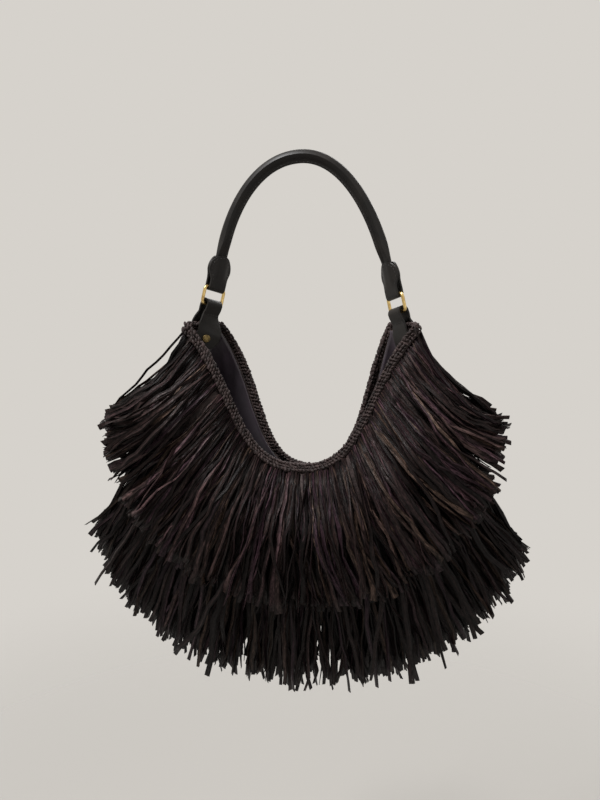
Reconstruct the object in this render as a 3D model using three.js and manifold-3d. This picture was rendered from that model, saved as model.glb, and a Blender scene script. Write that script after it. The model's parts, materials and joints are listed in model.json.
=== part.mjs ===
// Fringed hobo shoulder bag, hanging by its handle.
// Millimetres, +Z up, +X to the viewer's right, front towards -Y.
// The bag hangs from the origin, the underside of the handle's highest point.

import * as THREE from 'three';
import { mergeVertices } from 'three/addons/utils/BufferGeometryUtils.js';
import Module from 'manifold-3d';

const wasm = await Module();
wasm.setup();

const vec = (x, y, z) => new THREE.Vector3(x, y, z);
const flat = (x, y) => new THREE.Vector2(x, y);
const deg = THREE.MathUtils.degToRad;
const lerp = THREE.MathUtils.lerp;
const ease = THREE.MathUtils.smoothstep;

// Gap kept between pieces that touch on the real bag
const FIT = 0.3;

// Points closer than this are one point when bodies are cut, and cutters reach this far past a face
const WELD = 1e-4;
const OVERCUT = 1;

// Handle: a leather strip rolled round a cord, its long edges sewn into a flange on the inner side
const ROLL_RADIUS = 4.7;
const ROLL_LEATHER = 1.5;
const ROLL_FACETS = 12;
const FLANGE_DEPTH = 2.4;
const FLANGE_HALF = 1.5;
const HANDLE_STEPS = 28;
const HANDLE_TUCK = 14;
const FLAT_END = 12;
const FLAT_TAPER = 22;
const FLAT_SHARE = 0.34;
const CORE_SIDES = 8;
const CORE_STEPS = 20;
const CORE_SETBACK = 38;
const CORE_SLACK = 0.6;

// Rectangular wire rings
const RING_WIDTH = 27;
const RING_HEIGHT = 19;
const RING_WIRE = 1.5;
const RING_CORNER = 3.6;
const RING_CORNER_STEPS = 4;
const RING_SIDES = 10;
const BAR_OFFSET = RING_HEIGHT / 2 - RING_WIRE;

// Folded leather tabs: the upper pair joins handle to ring, the lower pair ring to bag
const TAB_LEATHER = 1.6;
const TAB_CURVE = 6;
const TAB_BLANK = 52;
const PADDLE_BORE = RING_WIRE + 0.35;
const PADDLE_MOUTH = 3.6;
const PADDLE_NECK = 9.5;
const PADDLE_HALF = 13;
const PADDLE_HEIGHT = 30;
const PADDLE_SHOULDER = 6;
const ANCHOR_BORE = 3.7;
const ANCHOR_NECK = 9;
const ANCHOR_HALF = 11.6;
const ANCHOR_LENGTH = 40;
const ANCHOR_SHOULDER = 6;
const ANCHOR_WIDE = 20;

// Two-part cap rivets through both legs of each lower tab and the bag's end
const RIVET_DROP = 30;
const RIVET_POST = 1.4;
const RIVET_HOLE = RIVET_POST + FIT;
const RIVET_CAP = 3.8;
const RIVET_EDGE = 0.5;
const RIVET_DOME = 1.7;
const RIVET_CURVE = [[0.85, 0.7], [0.5, 0.95]];
const RIVET_SOCKET = 1.0;
const RIVET_SEGMENTS = 12;

// Mouth: half outlines in X and Z, from the end under the tab to the middle
const outlineCurve = (...points) => new THREE.CubicBezierCurve(...points.map(([x, z]) => flat(x, z)));
const FRONT_RIM = outlineCurve([102.5, -141], [57, -198], [62, -274], [0, -274]);
const BACK_RIM = outlineCurve([79.5, -142], [45, -200], [54, -279], [0, -279]);
const RIM_MIDDLE_DEPTH = 9;
const FRONT_END_DEPTH = 20;
const BACK_END_DEPTH = 14;
const BACK_SHIFT = 7;
const SHIFT_FADE = 4;
const MOUTH_FLARE = 0.7;
const RIM_BAND = 9;
const RIM_PROUD = 0.5;
const RIM_INSIDE = 3.2;
const RIM_SEAM = 1.6;

// Body: a half-moon pouch, its lower edge an ellipse in X and Z
const EDGE_HALF_WIDTH = 147;
const EDGE_HALF_HEIGHT = 169;
const EDGE_CENTRE = -235;
const EDGE_SWEEP = deg(85);
const EDGE_GATHER = 2.2;
const EDGE_DEPTH = 9;
const EDGE_DRAW = 2;
const END_ROUND = 7;
const END_ROUND_FADE = 3;
const FRONT_BELLY = 24;
const BACK_BELLY = 18;
const BELLY_HIGH = 0.8;
const BELLY_FADE = 4;
const SHELL_WALL = 2.4;
const LINING_WALL = 0.9;
const LINING_GAP = 0.8;
const PANEL_COLUMNS = 20;
const PANEL_ROWS = 6;

// Fringe: two tiers a side, drawn as one thick layer each with a notched edge
const TIER_LAYER = 7;
const TIER_ROOT_LAYER = 4;
const TIER_ROOT_SHARE = 0.4;
const TIER_LIFT = 9;
const TIER_LIFT_START = 30;
const TIER_LIFT_END = 62;
const TIER_CLEAR = 2.2;
const TIER_NOTCH = 0.05;
const TIER_SAG = 10;
const TIER_SAG_FADE = 3;
const TIER_COLUMNS = 24;
const TIER_ROWS = 5;
const UPPER_TIER = {
  root: RIM_BAND + 2, span: 0.93, halfWidth: 178, halfHeight: 178, centre: -222, low: 0, gather: 2.2, drop: 3,
};
const LOWER_TIER = {
  root: 72, span: 0.72, halfWidth: 208, halfHeight: 185, centre: -295, low: deg(5), gather: 1.9, drop: 20,
};

// The two ends differ a little because the handle has slipped sideways where it hangs
const ENDS = [
  {
    name: 'left', side: -1, ring: vec(-83, -3.5, -117), lean: deg(9),
    reach: vec(-46, 0, 0), pull: vec(-74, 3, -46),
  },
  {
    name: 'right', side: 1, ring: vec(86, -3.5, -124), lean: deg(10),
    reach: vec(40, 0, 0), pull: vec(69, 3, -46),
  },
];

const FINISH = {
  leather: { color: 0x2b2826, roughness: 0.5, metalness: 0 },
  cord: { color: 0x8a7f6c, roughness: 0.9, metalness: 0 },
  brass: { color: 0xc39a4a, roughness: 0.25, metalness: 1 },
  agedBrass: { color: 0x8a6f3f, roughness: 0.4, metalness: 1 },
  crochet: { color: 0x2a2320, roughness: 0.75, metalness: 0 },
  satin: { color: 0x251f26, roughness: 0.45, metalness: 0 },
  straw: { color: 0x221c1a, roughness: 0.6, metalness: 0 },
};

const bag = new THREE.Group();

function place(name, geometry, finish, parent = bag) {
  const mesh = new THREE.Mesh(geometry, new THREE.MeshStandardMaterial(finish));
  mesh.name = name;
  parent.add(mesh);
}

// Surface helpers

function quad(faces, a, b, c, d) {
  faces.push([a, b, c], [a, c, d]);
}

// Faces of a grid of points stored row by row, wrapped round in either direction when asked
function gridFaces(rows, columns, wrapColumns, wrapRows = false) {
  const faces = [];
  const at = (i, j) => (i % rows) * columns + (j % columns);
  for (let i = 0; i < (wrapRows ? rows : rows - 1); i++) {
    for (let j = 0; j < (wrapColumns ? columns : columns - 1); j++) {
      quad(faces, at(i, j), at(i, j + 1), at(i + 1, j + 1), at(i + 1, j));
    }
  }
  return faces;
}

// A closed body from points and faces, turned so that its faces point outwards
function solid(points, faces) {
  const volume = faces.reduce((sum, [a, b, c]) => sum + points[a].dot(points[b].clone().cross(points[c])), 0);
  const geometry = new THREE.BufferGeometry().setFromPoints(points);
  geometry.setIndex(faces.flatMap(([a, b, c]) => (volume > 0 ? [a, b, c] : [a, c, b])));
  geometry.computeVertexNormals();
  return geometry;
}

// A wall between two matching surfaces, closed along every open edge
function thicken(outer, inner, faces) {
  const count = outer.length;
  const all = [...faces, ...faces.map(([a, b, c]) => [c + count, b + count, a + count])];
  const edges = new Set(faces.flatMap(([a, b, c]) => [`${a} ${b}`, `${b} ${c}`, `${c} ${a}`]));
  for (const edge of edges) {
    const [a, b] = edge.split(' ').map(Number);
    if (!edges.has(`${b} ${a}`)) {
      quad(all, b, a, a + count, b + count);
    }
  }
  return solid([...outer, ...inner], all);
}

// A solid bar through a row of rings of points, with flat ends
function loft(rings) {
  const columns = rings[0].length;
  const points = rings.flat();
  const faces = gridFaces(rings.length, columns, true);
  for (const row of [0, rings.length - 1]) {
    const middle = rings[row].reduce((sum, p) => sum.add(p), vec(0, 0, 0)).divideScalar(columns);
    points.push(middle);
    for (let j = 0; j < columns; j++) {
      const here = row * columns + j;
      const next = row * columns + ((j + 1) % columns);
      faces.push(row === 0 ? [next, here, points.length - 1] : [here, next, points.length - 1]);
    }
  }
  return solid(points, faces);
}

function toManifold(geometry) {
  const bare = geometry.clone();
  bare.deleteAttribute('normal');
  bare.deleteAttribute('uv');
  const merged = mergeVertices(bare, WELD);
  const mesh = new wasm.Mesh({
    numProp: 3,
    vertProperties: new Float32Array(merged.attributes.position.array),
    triVerts: new Uint32Array(merged.index.array),
  });
  return new wasm.Manifold(mesh);
}

function fromManifold(body) {
  const mesh = body.getMesh();
  const geometry = new THREE.BufferGeometry();
  geometry.setAttribute('position', new THREE.BufferAttribute(new Float32Array(mesh.vertProperties), 3));
  geometry.setIndex(new THREE.BufferAttribute(new Uint32Array(mesh.triVerts), 1));
  geometry.computeVertexNormals();
  return geometry;
}

function drill(geometry, holes) {
  const body = holes.reduce((left, hole) => left.subtract(toManifold(hole)), toManifold(geometry));
  return fromManifold(body);
}

// Body of the bag

const FRONT = { face: -1, rim: FRONT_RIM, endDepth: FRONT_END_DEPTH, belly: FRONT_BELLY, shift: 0 };
const BACK = { face: 1, rim: BACK_RIM, endDepth: BACK_END_DEPTH, belly: BACK_BELLY, shift: BACK_SHIFT };

// Along the mouth, s runs from 0 at the left end to 1 at the right one.
// The distance from the middle, 0 to 1, is the same on both halves.
const fromMiddle = (s) => Math.abs(1 - 2 * s);
const sideOf = (s) => (s < 0.5 ? -1 : 1);

function rimPoint(panel, s) {
  const v = fromMiddle(s);
  const outline = panel.rim.getPointAt(1 - v);
  const depth = lerp(RIM_MIDDLE_DEPTH, panel.endDepth, v ** MOUTH_FLARE);
  return vec(sideOf(s) * outline.x + panel.shift * (1 - v ** SHIFT_FADE), panel.face * depth, outline.y);
}

function edgePoint(s) {
  const angle = Math.PI / 2 - EDGE_SWEEP * (1 - (1 - fromMiddle(s)) ** EDGE_GATHER);
  const x = sideOf(s) * EDGE_HALF_WIDTH * Math.cos(angle);
  return vec(x, 0, EDGE_CENTRE - EDGE_HALF_HEIGHT * Math.sin(angle));
}

function panelLength(panel, s) {
  const run = edgePoint(s).sub(rimPoint(panel, s));
  return Math.hypot(run.x, run.z);
}

// A point of the outer cloth, at a distance down from the rim
function panelPoint(panel, s, distance) {
  const rim = rimPoint(panel, s);
  const edge = edgePoint(s);
  const share = Math.min(distance / panelLength(panel, s), 1);
  const swell = panel.belly * Math.sin(Math.PI * share ** BELLY_HIGH) * (1 - fromMiddle(s) ** BELLY_FADE);
  const depth = lerp(rim.y, panel.face * EDGE_DEPTH, share ** EDGE_DRAW) + panel.face * swell;
  return vec(lerp(rim.x, edge.x, share), depth, lerp(rim.z, edge.z, share));
}

// One loop of cloth round the bag: front left to right, right end, back right to left, left end
function clothLoop(distanceAt) {
  const steps = Array.from({ length: PANEL_COLUMNS + 1 }, (_, k) => k / PANEL_COLUMNS);
  const run = (panel) => steps.map((s) => panelPoint(panel, s, distanceAt(panel, s)));
  const front = run(FRONT);
  const back = run(BACK).reverse();
  const endShare = distanceAt(FRONT, 0) / panelLength(FRONT, 0);
  const rounding = END_ROUND * endShare ** END_ROUND_FADE;
  const rightEnd = front[PANEL_COLUMNS].clone().lerp(back[0], 0.5).add(vec(rounding, 0, 0));
  const leftEnd = front[0].clone().lerp(back[PANEL_COLUMNS], 0.5).add(vec(-rounding, 0, 0));
  return [...front, rightEnd, ...back, leftEnd];
}

// Faces that close the last loop along the lower edge, front to back
function edgeFaces(start) {
  const last = PANEL_COLUMNS;
  const front = (k) => start + k;
  const back = (k) => start + 2 * last + 2 - k;
  const faces = [];
  for (let k = 0; k < last; k++) {
    quad(faces, front(k), front(k + 1), back(k + 1), back(k));
  }
  faces.push([front(last), start + last + 1, back(last)]);
  faces.push([back(0), start + 2 * last + 3, front(0)]);
  return faces;
}

const bandRows = [0, RIM_BAND / 2, RIM_BAND].map((d) => clothLoop(() => d));
const bodyRows = Array.from({ length: PANEL_ROWS + 1 }, (_, i) => {
  const top = RIM_BAND + RIM_SEAM;
  return clothLoop((panel, s) => lerp(top, panelLength(panel, s), i / PANEL_ROWS));
});
const loopSize = bandRows[0].length;
const cloth = [...bandRows, ...bodyRows].flat();
const clothFaces = gridFaces(bandRows.length + bodyRows.length, loopSize, true);
clothFaces.push(...edgeFaces((bandRows.length + bodyRows.length - 1) * loopSize));
const clothNormals = solid(cloth, clothFaces).attributes.normal;
const bandEnd = bandRows.length * loopSize;

// Facing of the cloth at a point; band and body share one facing along their seam
function facing(k) {
  const normal = new THREE.Vector3().fromBufferAttribute(clothNormals, k);
  const twin = k >= bandEnd ? k - loopSize : k + loopSize;
  if (Math.abs(k - bandEnd + 0.5) < loopSize) {
    normal.add(new THREE.Vector3().fromBufferAttribute(clothNormals, twin)).normalize();
  }
  return normal;
}

// The cloth surface moved inwards, from one point of the list to another
function insetCloth(inset, first, last) {
  return cloth.slice(first, last).map((point, k) => point.clone().addScaledVector(facing(first + k), -inset));
}

const bandFaces = gridFaces(bandRows.length, loopSize, true);
const bodyFaces = gridFaces(bodyRows.length, loopSize, true);
bodyFaces.push(...edgeFaces((bodyRows.length - 1) * loopSize));
const bodyInset = (inset) => insetCloth(inset, bandEnd, cloth.length);

const rim = thicken(insetCloth(-RIM_PROUD, 0, bandEnd), insetCloth(RIM_INSIDE, 0, bandEnd), bandFaces);
const shell = thicken(bodyInset(0), bodyInset(SHELL_WALL), bodyFaces);
const liningOuter = SHELL_WALL + LINING_GAP;
const lining = thicken(bodyInset(liningOuter), bodyInset(liningOuter + LINING_WALL), bodyFaces);

// Fringe tiers

function tipPoint(tier, s) {
  const v = fromMiddle(s) / tier.span;
  const angle = lerp(tier.low, Math.PI / 2, Math.max(1 - v, 0) ** tier.gather);
  const x = sideOf(s) * tier.halfWidth * Math.cos(angle);
  return vec(x, 0, tier.centre - tier.halfHeight * Math.sin(angle));
}

// The strands leave the cloth at their root, pass the belly's deepest point and hang on from there
function tierPoint(panel, tier, s, share, lift) {
  const root = panelPoint(panel, s, tier.root);
  const tip = tipPoint(tier, s);
  const deepest = 0.5 ** (1 / BELLY_HIGH) * panelLength(panel, s);
  const along = tier.root + share * Math.hypot(tip.x - root.x, tip.z - root.z);
  const held = panelPoint(panel, s, Math.max(Math.min(along, deepest), tier.root)).y;
  const over = tier === UPPER_TIER ? TIER_LIFT * ease(along, TIER_LIFT_START, TIER_LIFT_END) : 0;
  const depth = held + panel.face * (TIER_CLEAR + over - tier.drop * share + lift);
  const sag = TIER_SAG * Math.sin(Math.PI * share) * fromMiddle(s) ** TIER_SAG_FADE;
  return vec(lerp(root.x, tip.x, share), depth, lerp(root.z, tip.z, share) - sag);
}

function fringe(panel, tier) {
  const surface = (layerAt) => {
    const points = [];
    for (let i = 0; i <= TIER_ROWS; i++) {
      for (let j = 0; j <= TIER_COLUMNS; j++) {
        const s = 0.5 + tier.span * (j / TIER_COLUMNS - 0.5);
        const share = (i / TIER_ROWS) * (1 - TIER_NOTCH * (j % 2));
        points.push(tierPoint(panel, tier, s, share, layerAt(share)));
      }
    }
    return points;
  };
  const layer = (share) => lerp(TIER_ROOT_LAYER, TIER_LAYER, ease(share, 0, TIER_ROOT_SHARE));
  return thicken(surface(layer), surface(() => 0), gridFaces(TIER_ROWS + 1, TIER_COLUMNS + 1, false));
}

// Ends: ring, tabs and rivets, each in a frame whose X runs along the ring's bars,
// Y faces into the bag's mouth and Z points up the pull of the handle

function frameAlong(bar, origin, up) {
  const y = up.clone().cross(bar).normalize();
  return { x: bar, y, z: bar.clone().cross(y), origin };
}

function frameGroup(frame) {
  const group = new THREE.Group();
  group.setRotationFromMatrix(new THREE.Matrix4().makeBasis(frame.x, frame.y, frame.z));
  group.position.copy(frame.origin);
  bag.add(group);
  group.updateMatrixWorld();
  return group;
}

function wireRing() {
  const rings = [];
  const cx = RING_WIDTH / 2 - RING_WIRE - RING_CORNER;
  const cz = RING_HEIGHT / 2 - RING_WIRE - RING_CORNER;
  const corners = [flat(cx, cz), flat(-cx, cz), flat(-cx, -cz), flat(cx, -cz)];
  corners.forEach((corner, quarter) => {
    for (let k = 0; k <= RING_CORNER_STEPS; k++) {
      const angle = (quarter + k / RING_CORNER_STEPS) * Math.PI / 2;
      const out = vec(Math.cos(angle), 0, Math.sin(angle));
      const middle = vec(corner.x, 0, corner.y).addScaledVector(out, RING_CORNER);
      rings.push(Array.from({ length: RING_SIDES }, (_, j) => {
        const turn = (j / RING_SIDES) * 2 * Math.PI;
        const point = middle.clone().addScaledVector(out, RING_WIRE * Math.cos(turn));
        return point.add(vec(0, RING_WIRE * Math.sin(turn), 0));
      }));
    }
  });
  return solid(rings.flat(), gridFaces(rings.length, RING_SIDES, true, true));
}

// A strip folded round a bar: its side profile, across the bar, cut to its face outline
function foldedTab(profile, outline) {
  const options = { bevelEnabled: false, curveSegments: TAB_CURVE };
  const width = TAB_BLANK;
  const fold = new THREE.ExtrudeGeometry(profile, { ...options, depth: width });
  fold.translate(0, 0, -width / 2);
  fold.applyMatrix4(new THREE.Matrix4().makeBasis(vec(0, 1, 0), vec(0, 0, 1), vec(1, 0, 0)));
  const face = new THREE.ExtrudeGeometry(outline, { ...options, curveSegments: 2 * TAB_CURVE, depth: width });
  face.translate(0, 0, -width / 2);
  face.rotateX(Math.PI / 2);
  return fromManifold(toManifold(fold).intersect(toManifold(face)));
}

// Upper tab: a loop under the ring's top bar, its two paddles sandwiching the handle's flat end
function handleTab() {
  const outer = PADDLE_BORE + TAB_LEATHER;
  const profile = new THREE.Shape();
  profile.moveTo(-PADDLE_MOUTH - TAB_LEATHER, PADDLE_HEIGHT + OVERCUT);
  profile.lineTo(-outer, 0);
  profile.absarc(0, 0, outer, Math.PI, 2 * Math.PI, false);
  profile.lineTo(PADDLE_MOUTH + TAB_LEATHER, PADDLE_HEIGHT + OVERCUT);
  profile.lineTo(PADDLE_MOUTH, PADDLE_HEIGHT + OVERCUT);
  profile.lineTo(PADDLE_BORE, 0);
  profile.absarc(0, 0, PADDLE_BORE, 0, Math.PI, true);
  profile.lineTo(-PADDLE_MOUTH, PADDLE_HEIGHT + OVERCUT);

  const round = PADDLE_HEIGHT - PADDLE_HALF;
  const outline = new THREE.Shape();
  outline.moveTo(PADDLE_NECK, -outer - OVERCUT);
  outline.lineTo(PADDLE_NECK, PADDLE_SHOULDER);
  outline.quadraticCurveTo(PADDLE_HALF, (PADDLE_SHOULDER + round) / 2, PADDLE_HALF, round);
  outline.absarc(0, round, PADDLE_HALF, 0, Math.PI, false);
  outline.quadraticCurveTo(-PADDLE_HALF, (PADDLE_SHOULDER + round) / 2, -PADDLE_NECK, PADDLE_SHOULDER);
  outline.lineTo(-PADDLE_NECK, -outer - OVERCUT);
  return foldedTab(profile, outline);
}

const rivetBore = () => new THREE.CylinderGeometry(RIVET_HOLE, RIVET_HOLE, 4 * ANCHOR_BORE, RIVET_SEGMENTS)
  .translate(0, 0, -RIVET_DROP);

// Lower tab: a loop over the ring's bottom bar, its two legs straddling the bag's end
function anchorTab() {
  const outer = ANCHOR_BORE + TAB_LEATHER;
  const profile = new THREE.Shape();
  profile.moveTo(outer, -ANCHOR_LENGTH - OVERCUT);
  profile.lineTo(outer, 0);
  profile.absarc(0, 0, outer, 0, Math.PI, false);
  profile.lineTo(-outer, -ANCHOR_LENGTH - OVERCUT);
  profile.lineTo(-ANCHOR_BORE, -ANCHOR_LENGTH - OVERCUT);
  profile.lineTo(-ANCHOR_BORE, 0);
  profile.absarc(0, 0, ANCHOR_BORE, Math.PI, 0, true);
  profile.lineTo(ANCHOR_BORE, -ANCHOR_LENGTH - OVERCUT);

  const round = ANCHOR_HALF - ANCHOR_LENGTH;
  const bend = ANCHOR_WIDE / 2;
  const outline = new THREE.Shape();
  outline.moveTo(-ANCHOR_NECK, outer + OVERCUT);
  outline.lineTo(-ANCHOR_NECK, -ANCHOR_SHOULDER);
  outline.bezierCurveTo(-ANCHOR_NECK, -bend, -ANCHOR_HALF, -bend, -ANCHOR_HALF, -ANCHOR_WIDE);
  outline.absarc(0, round, ANCHOR_HALF, Math.PI, 2 * Math.PI, false);
  outline.lineTo(ANCHOR_HALF, -ANCHOR_WIDE);
  outline.bezierCurveTo(ANCHOR_HALF, -bend, ANCHOR_NECK, -bend, ANCHOR_NECK, -ANCHOR_SHOULDER);
  outline.lineTo(ANCHOR_NECK, outer + OVERCUT);
  return drill(foldedTab(profile, outline), [rivetBore()]);
}

// Outline of a cap's dome, from its rim in to the axis
const domeProfile = (base, away) => [
  flat(RIVET_CAP, base),
  flat(RIVET_CAP, base + away * RIVET_EDGE),
  ...RIVET_CURVE.map(([out, up]) => flat(RIVET_CAP * out, base + away * RIVET_DOME * up)),
  flat(0, base + away * RIVET_DOME),
];
const CAP_SEAT = ANCHOR_BORE + TAB_LEATHER + FIT;

// Rivet: domed cap inside the mouth, post through to the outer cap
function rivet() {
  const foot = -CAP_SEAT - RIVET_SOCKET + FIT;
  const post = [flat(0, foot), flat(RIVET_POST, foot), flat(RIVET_POST, CAP_SEAT)];
  return new THREE.LatheGeometry([...post, ...domeProfile(CAP_SEAT, 1)], RIVET_SEGMENTS);
}

// Outer cap, with the socket that the post is pressed into
function rivetCap() {
  const floor = -CAP_SEAT - RIVET_SOCKET;
  const socket = [flat(RIVET_HOLE, -CAP_SEAT), flat(RIVET_HOLE, floor), flat(0, floor)];
  return new THREE.LatheGeometry([...domeProfile(-CAP_SEAT, -1).reverse(), ...socket], RIVET_SEGMENTS);
}

const WALL_MIDDLE = (liningOuter + LINING_WALL) / 2;
const TAB_AIM = 23;

for (const end of ENDS) {
  const s = end.side < 0 ? 0 : 1;
  const across = rimPoint(BACK, s).sub(rimPoint(FRONT, s)).setZ(0).normalize();
  const inward = vec(across.y, -across.x, 0).multiplyScalar(-end.side);
  const aim = panelPoint(FRONT, s, TAB_AIM).lerp(panelPoint(BACK, s, TAB_AIM), 0.5);
  aim.addScaledVector(inward, WALL_MIDDLE);
  const pull = end.ring.clone().sub(aim).normalize();
  const bar = across.addScaledVector(pull, -across.dot(pull)).normalize().multiplyScalar(end.side);
  const ringFrame = frameAlong(bar, end.ring, vec(-end.side * Math.sin(end.lean), 0, Math.cos(end.lean)));
  end.press = ringFrame.y;
  end.topBar = end.ring.clone().addScaledVector(ringFrame.z, BAR_OFFSET);
  end.handleEnd = end.topBar.clone().addScaledVector(ringFrame.z, HANDLE_TUCK);
  place(`${end.name}_ring`, wireRing(), FINISH.brass, frameGroup(ringFrame));
  const paddleGroup = frameGroup({ ...ringFrame, origin: end.topBar });
  place(`${end.name}_handle_tab`, handleTab(), FINISH.leather, paddleGroup);

  const lowBar = end.ring.clone().addScaledVector(ringFrame.z, -BAR_OFFSET);
  const tabGroup = frameGroup(frameAlong(bar, lowBar, lowBar.clone().sub(aim)));
  place(`${end.name}_anchor_tab`, anchorTab(), FINISH.leather, tabGroup);
  const seat = new THREE.Group();
  seat.position.set(0, 0, -RIVET_DROP);
  tabGroup.add(seat);
  place(`${end.name}_rivet`, rivet(), FINISH.agedBrass, seat);
  place(`${end.name}_rivet_cap`, rivetCap(), FINISH.agedBrass, seat);
  end.bore = rivetBore().applyMatrix4(tabGroup.matrixWorld);
}

const bores = ENDS.map((end) => end.bore);
place('rim_edging', rim, FINISH.crochet);
place('crochet_shell', drill(shell, bores), FINISH.crochet);
place('lining', drill(lining, bores), FINISH.satin);
place('front_upper_fringe', fringe(FRONT, UPPER_TIER), FINISH.straw);
place('front_lower_fringe', fringe(FRONT, LOWER_TIER), FINISH.straw);
place('back_upper_fringe', fringe(BACK, UPPER_TIER), FINISH.straw);
place('back_lower_fringe', fringe(BACK, LOWER_TIER), FINISH.straw);

// Handle

const APEX = vec(0, 0, FLANGE_DEPTH + ROLL_RADIUS);
const [left, right] = ENDS;
const handlePath = new THREE.CurvePath();
handlePath.add(new THREE.CubicBezierCurve3(left.handleEnd, left.pull, left.reach.setZ(APEX.z), APEX));
handlePath.add(new THREE.CubicBezierCurve3(APEX, right.reach.setZ(APEX.z), right.pull, right.handleEnd));
const handleLength = handlePath.getLength();

// Roll with its flange, and the bore that the cord fills; X points into the handle's loop
function sleeveSection() {
  const bore = ROLL_RADIUS - ROLL_LEATHER;
  const tip = ROLL_RADIUS + FLANGE_DEPTH;
  const open = Math.asin(FLANGE_HALF / ROLL_RADIUS);
  const outer = [];
  for (let k = 0; k <= ROLL_FACETS; k++) {
    const angle = lerp(open, 2 * Math.PI - open, k / ROLL_FACETS);
    outer.push(flat(Math.cos(angle), Math.sin(angle)).multiplyScalar(ROLL_RADIUS));
  }
  outer.push(flat(tip, -FLANGE_HALF), flat(tip, FLANGE_HALF));
  return { outer, inner: outer.map((p) => p.clone().setLength(bore)) };
}

// Points of a section at a distance along the handle, pressed flat towards each end
function handleRing(section, distance) {
  const along = distance / handleLength;
  const middle = handlePath.getPointAt(along);
  const tangent = handlePath.getTangentAt(along);
  const inwards = vec(0, 1, 0).cross(tangent).normalize();
  const sideways = tangent.cross(inwards);
  const fromEnd = Math.min(distance, handleLength - distance);
  const flatness = 1 - lerp(FLAT_SHARE, 1, ease(fromEnd, FLAT_END, FLAT_END + FLAT_TAPER));
  const { press } = along < 0.5 ? left : right;
  return section.map((p) => {
    const arm = inwards.clone().multiplyScalar(p.x).addScaledVector(sideways, p.y);
    arm.addScaledVector(press, -flatness * arm.dot(press));
    return arm.add(middle);
  });
}

const stations = (count, setback) => Array.from({ length: count + 1 }, (_, k) => (
  lerp(setback, handleLength - setback, k / count)));
const section = sleeveSection();
const sleeveSurface = (outline) => stations(HANDLE_STEPS, 0).flatMap((d) => handleRing(outline, d));
const sleeveFaces = gridFaces(HANDLE_STEPS + 1, section.outer.length, true);
const sleeve = thicken(sleeveSurface(section.outer), sleeveSurface(section.inner), sleeveFaces);
place('handle_sleeve', sleeve, FINISH.leather);

const cordSection = Array.from({ length: CORE_SIDES }, (_, k) => {
  const angle = (k / CORE_SIDES) * 2 * Math.PI;
  return flat(Math.cos(angle), Math.sin(angle)).multiplyScalar(ROLL_RADIUS - ROLL_LEATHER - CORE_SLACK);
});
const cordRings = stations(CORE_STEPS, CORE_SETBACK).map((d) => handleRing(cordSection, d));
place('handle_core', loft(cordRings), FINISH.cord);

export default bag;
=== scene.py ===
"""Looks of a fringed straw hobo bag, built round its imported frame, in metres."""

import json
import logging
import math
import random
from bisect import bisect_right
from dataclasses import dataclass, field
from enum import Enum
from itertools import accumulate
from typing import Callable, Sequence

import bmesh
import bpy
from bmesh.types import BMEdge, BMesh, BMVert
from bpy.types import Material, Mesh, Node, NodeSocket, NodeTree, Object
from mathutils import Matrix, Vector, noise


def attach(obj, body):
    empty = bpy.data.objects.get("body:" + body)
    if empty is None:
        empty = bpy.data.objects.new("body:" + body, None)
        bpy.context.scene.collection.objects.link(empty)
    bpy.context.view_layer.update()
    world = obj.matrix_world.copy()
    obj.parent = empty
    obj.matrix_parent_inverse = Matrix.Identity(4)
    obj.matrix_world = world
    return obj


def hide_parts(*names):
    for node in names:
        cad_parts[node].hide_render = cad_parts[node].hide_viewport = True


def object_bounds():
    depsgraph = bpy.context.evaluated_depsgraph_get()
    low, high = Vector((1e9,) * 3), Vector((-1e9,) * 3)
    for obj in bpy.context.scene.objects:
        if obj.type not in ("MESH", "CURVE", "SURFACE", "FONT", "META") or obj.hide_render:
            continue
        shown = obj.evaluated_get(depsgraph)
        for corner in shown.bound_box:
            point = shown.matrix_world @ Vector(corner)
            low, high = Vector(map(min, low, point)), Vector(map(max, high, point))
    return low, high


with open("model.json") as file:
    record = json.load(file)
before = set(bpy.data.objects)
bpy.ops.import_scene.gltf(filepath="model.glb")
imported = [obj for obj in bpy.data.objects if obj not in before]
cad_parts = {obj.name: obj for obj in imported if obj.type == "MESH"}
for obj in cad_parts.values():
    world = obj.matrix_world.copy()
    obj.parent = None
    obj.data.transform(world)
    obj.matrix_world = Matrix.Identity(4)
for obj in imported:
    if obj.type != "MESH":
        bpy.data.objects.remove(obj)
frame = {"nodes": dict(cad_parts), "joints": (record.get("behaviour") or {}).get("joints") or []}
CAD_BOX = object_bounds()

LOG = logging.getLogger("fringed_bag")
MM = 0.001
WELD = 1e-6
GOLDEN_SHARE = 0.6180339887
KINK_SEED = 17
QUARTER = math.pi / 2
TURN = 2 * math.pi
BAG = "bag"
Pair = tuple[float, float]
Triple = tuple[float, float, float]
Dyes = tuple[tuple[float, str], ...]
Placer = Callable[[float, float], Vector]
Sockets = dict[str | int, object]
Source = Node | NodeSocket


class Face(Enum):
    """Side of the bag, with the sign of its outward Y."""

    FRONT = -1
    BACK = 1


class Side(Enum):
    """End of the bag, with the sign of its X."""

    LEFT = -1
    RIGHT = 1

    @property
    def s(self) -> float:
        """Place of the end along the mouth."""
        return 0.0 if self is Side.LEFT else 1.0


# Small helpers


def linear(code: str) -> tuple[float, float, float, float]:
    """Turn an sRGB colour of six hex digits into linear RGBA."""
    parts = [int(code[k:k + 2], 16) / 255 for k in (0, 2, 4)]
    return (*[c / 12.92 if c <= 0.04045 else ((c + 0.055) / 1.055) ** 2.4 for c in parts], 1.0)


def lerp(a: float, b: float, t: float) -> float:
    """Blend from a to b."""
    return a + (b - a) * t


def clamp(x: float, low: float = 0.0, high: float = 1.0) -> float:
    """Hold a number between two others."""
    return min(max(x, low), high)


def ease(x: float, low: float, high: float) -> float:
    """Smooth step from 0 at low to 1 at high."""
    t = clamp((x - low) / (high - low))
    return t * t * (3 - 2 * t)


def off_middle(s: float) -> float:
    """Share of the way from the middle of the mouth to its nearer end."""
    return abs(1 - 2 * s)


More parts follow.
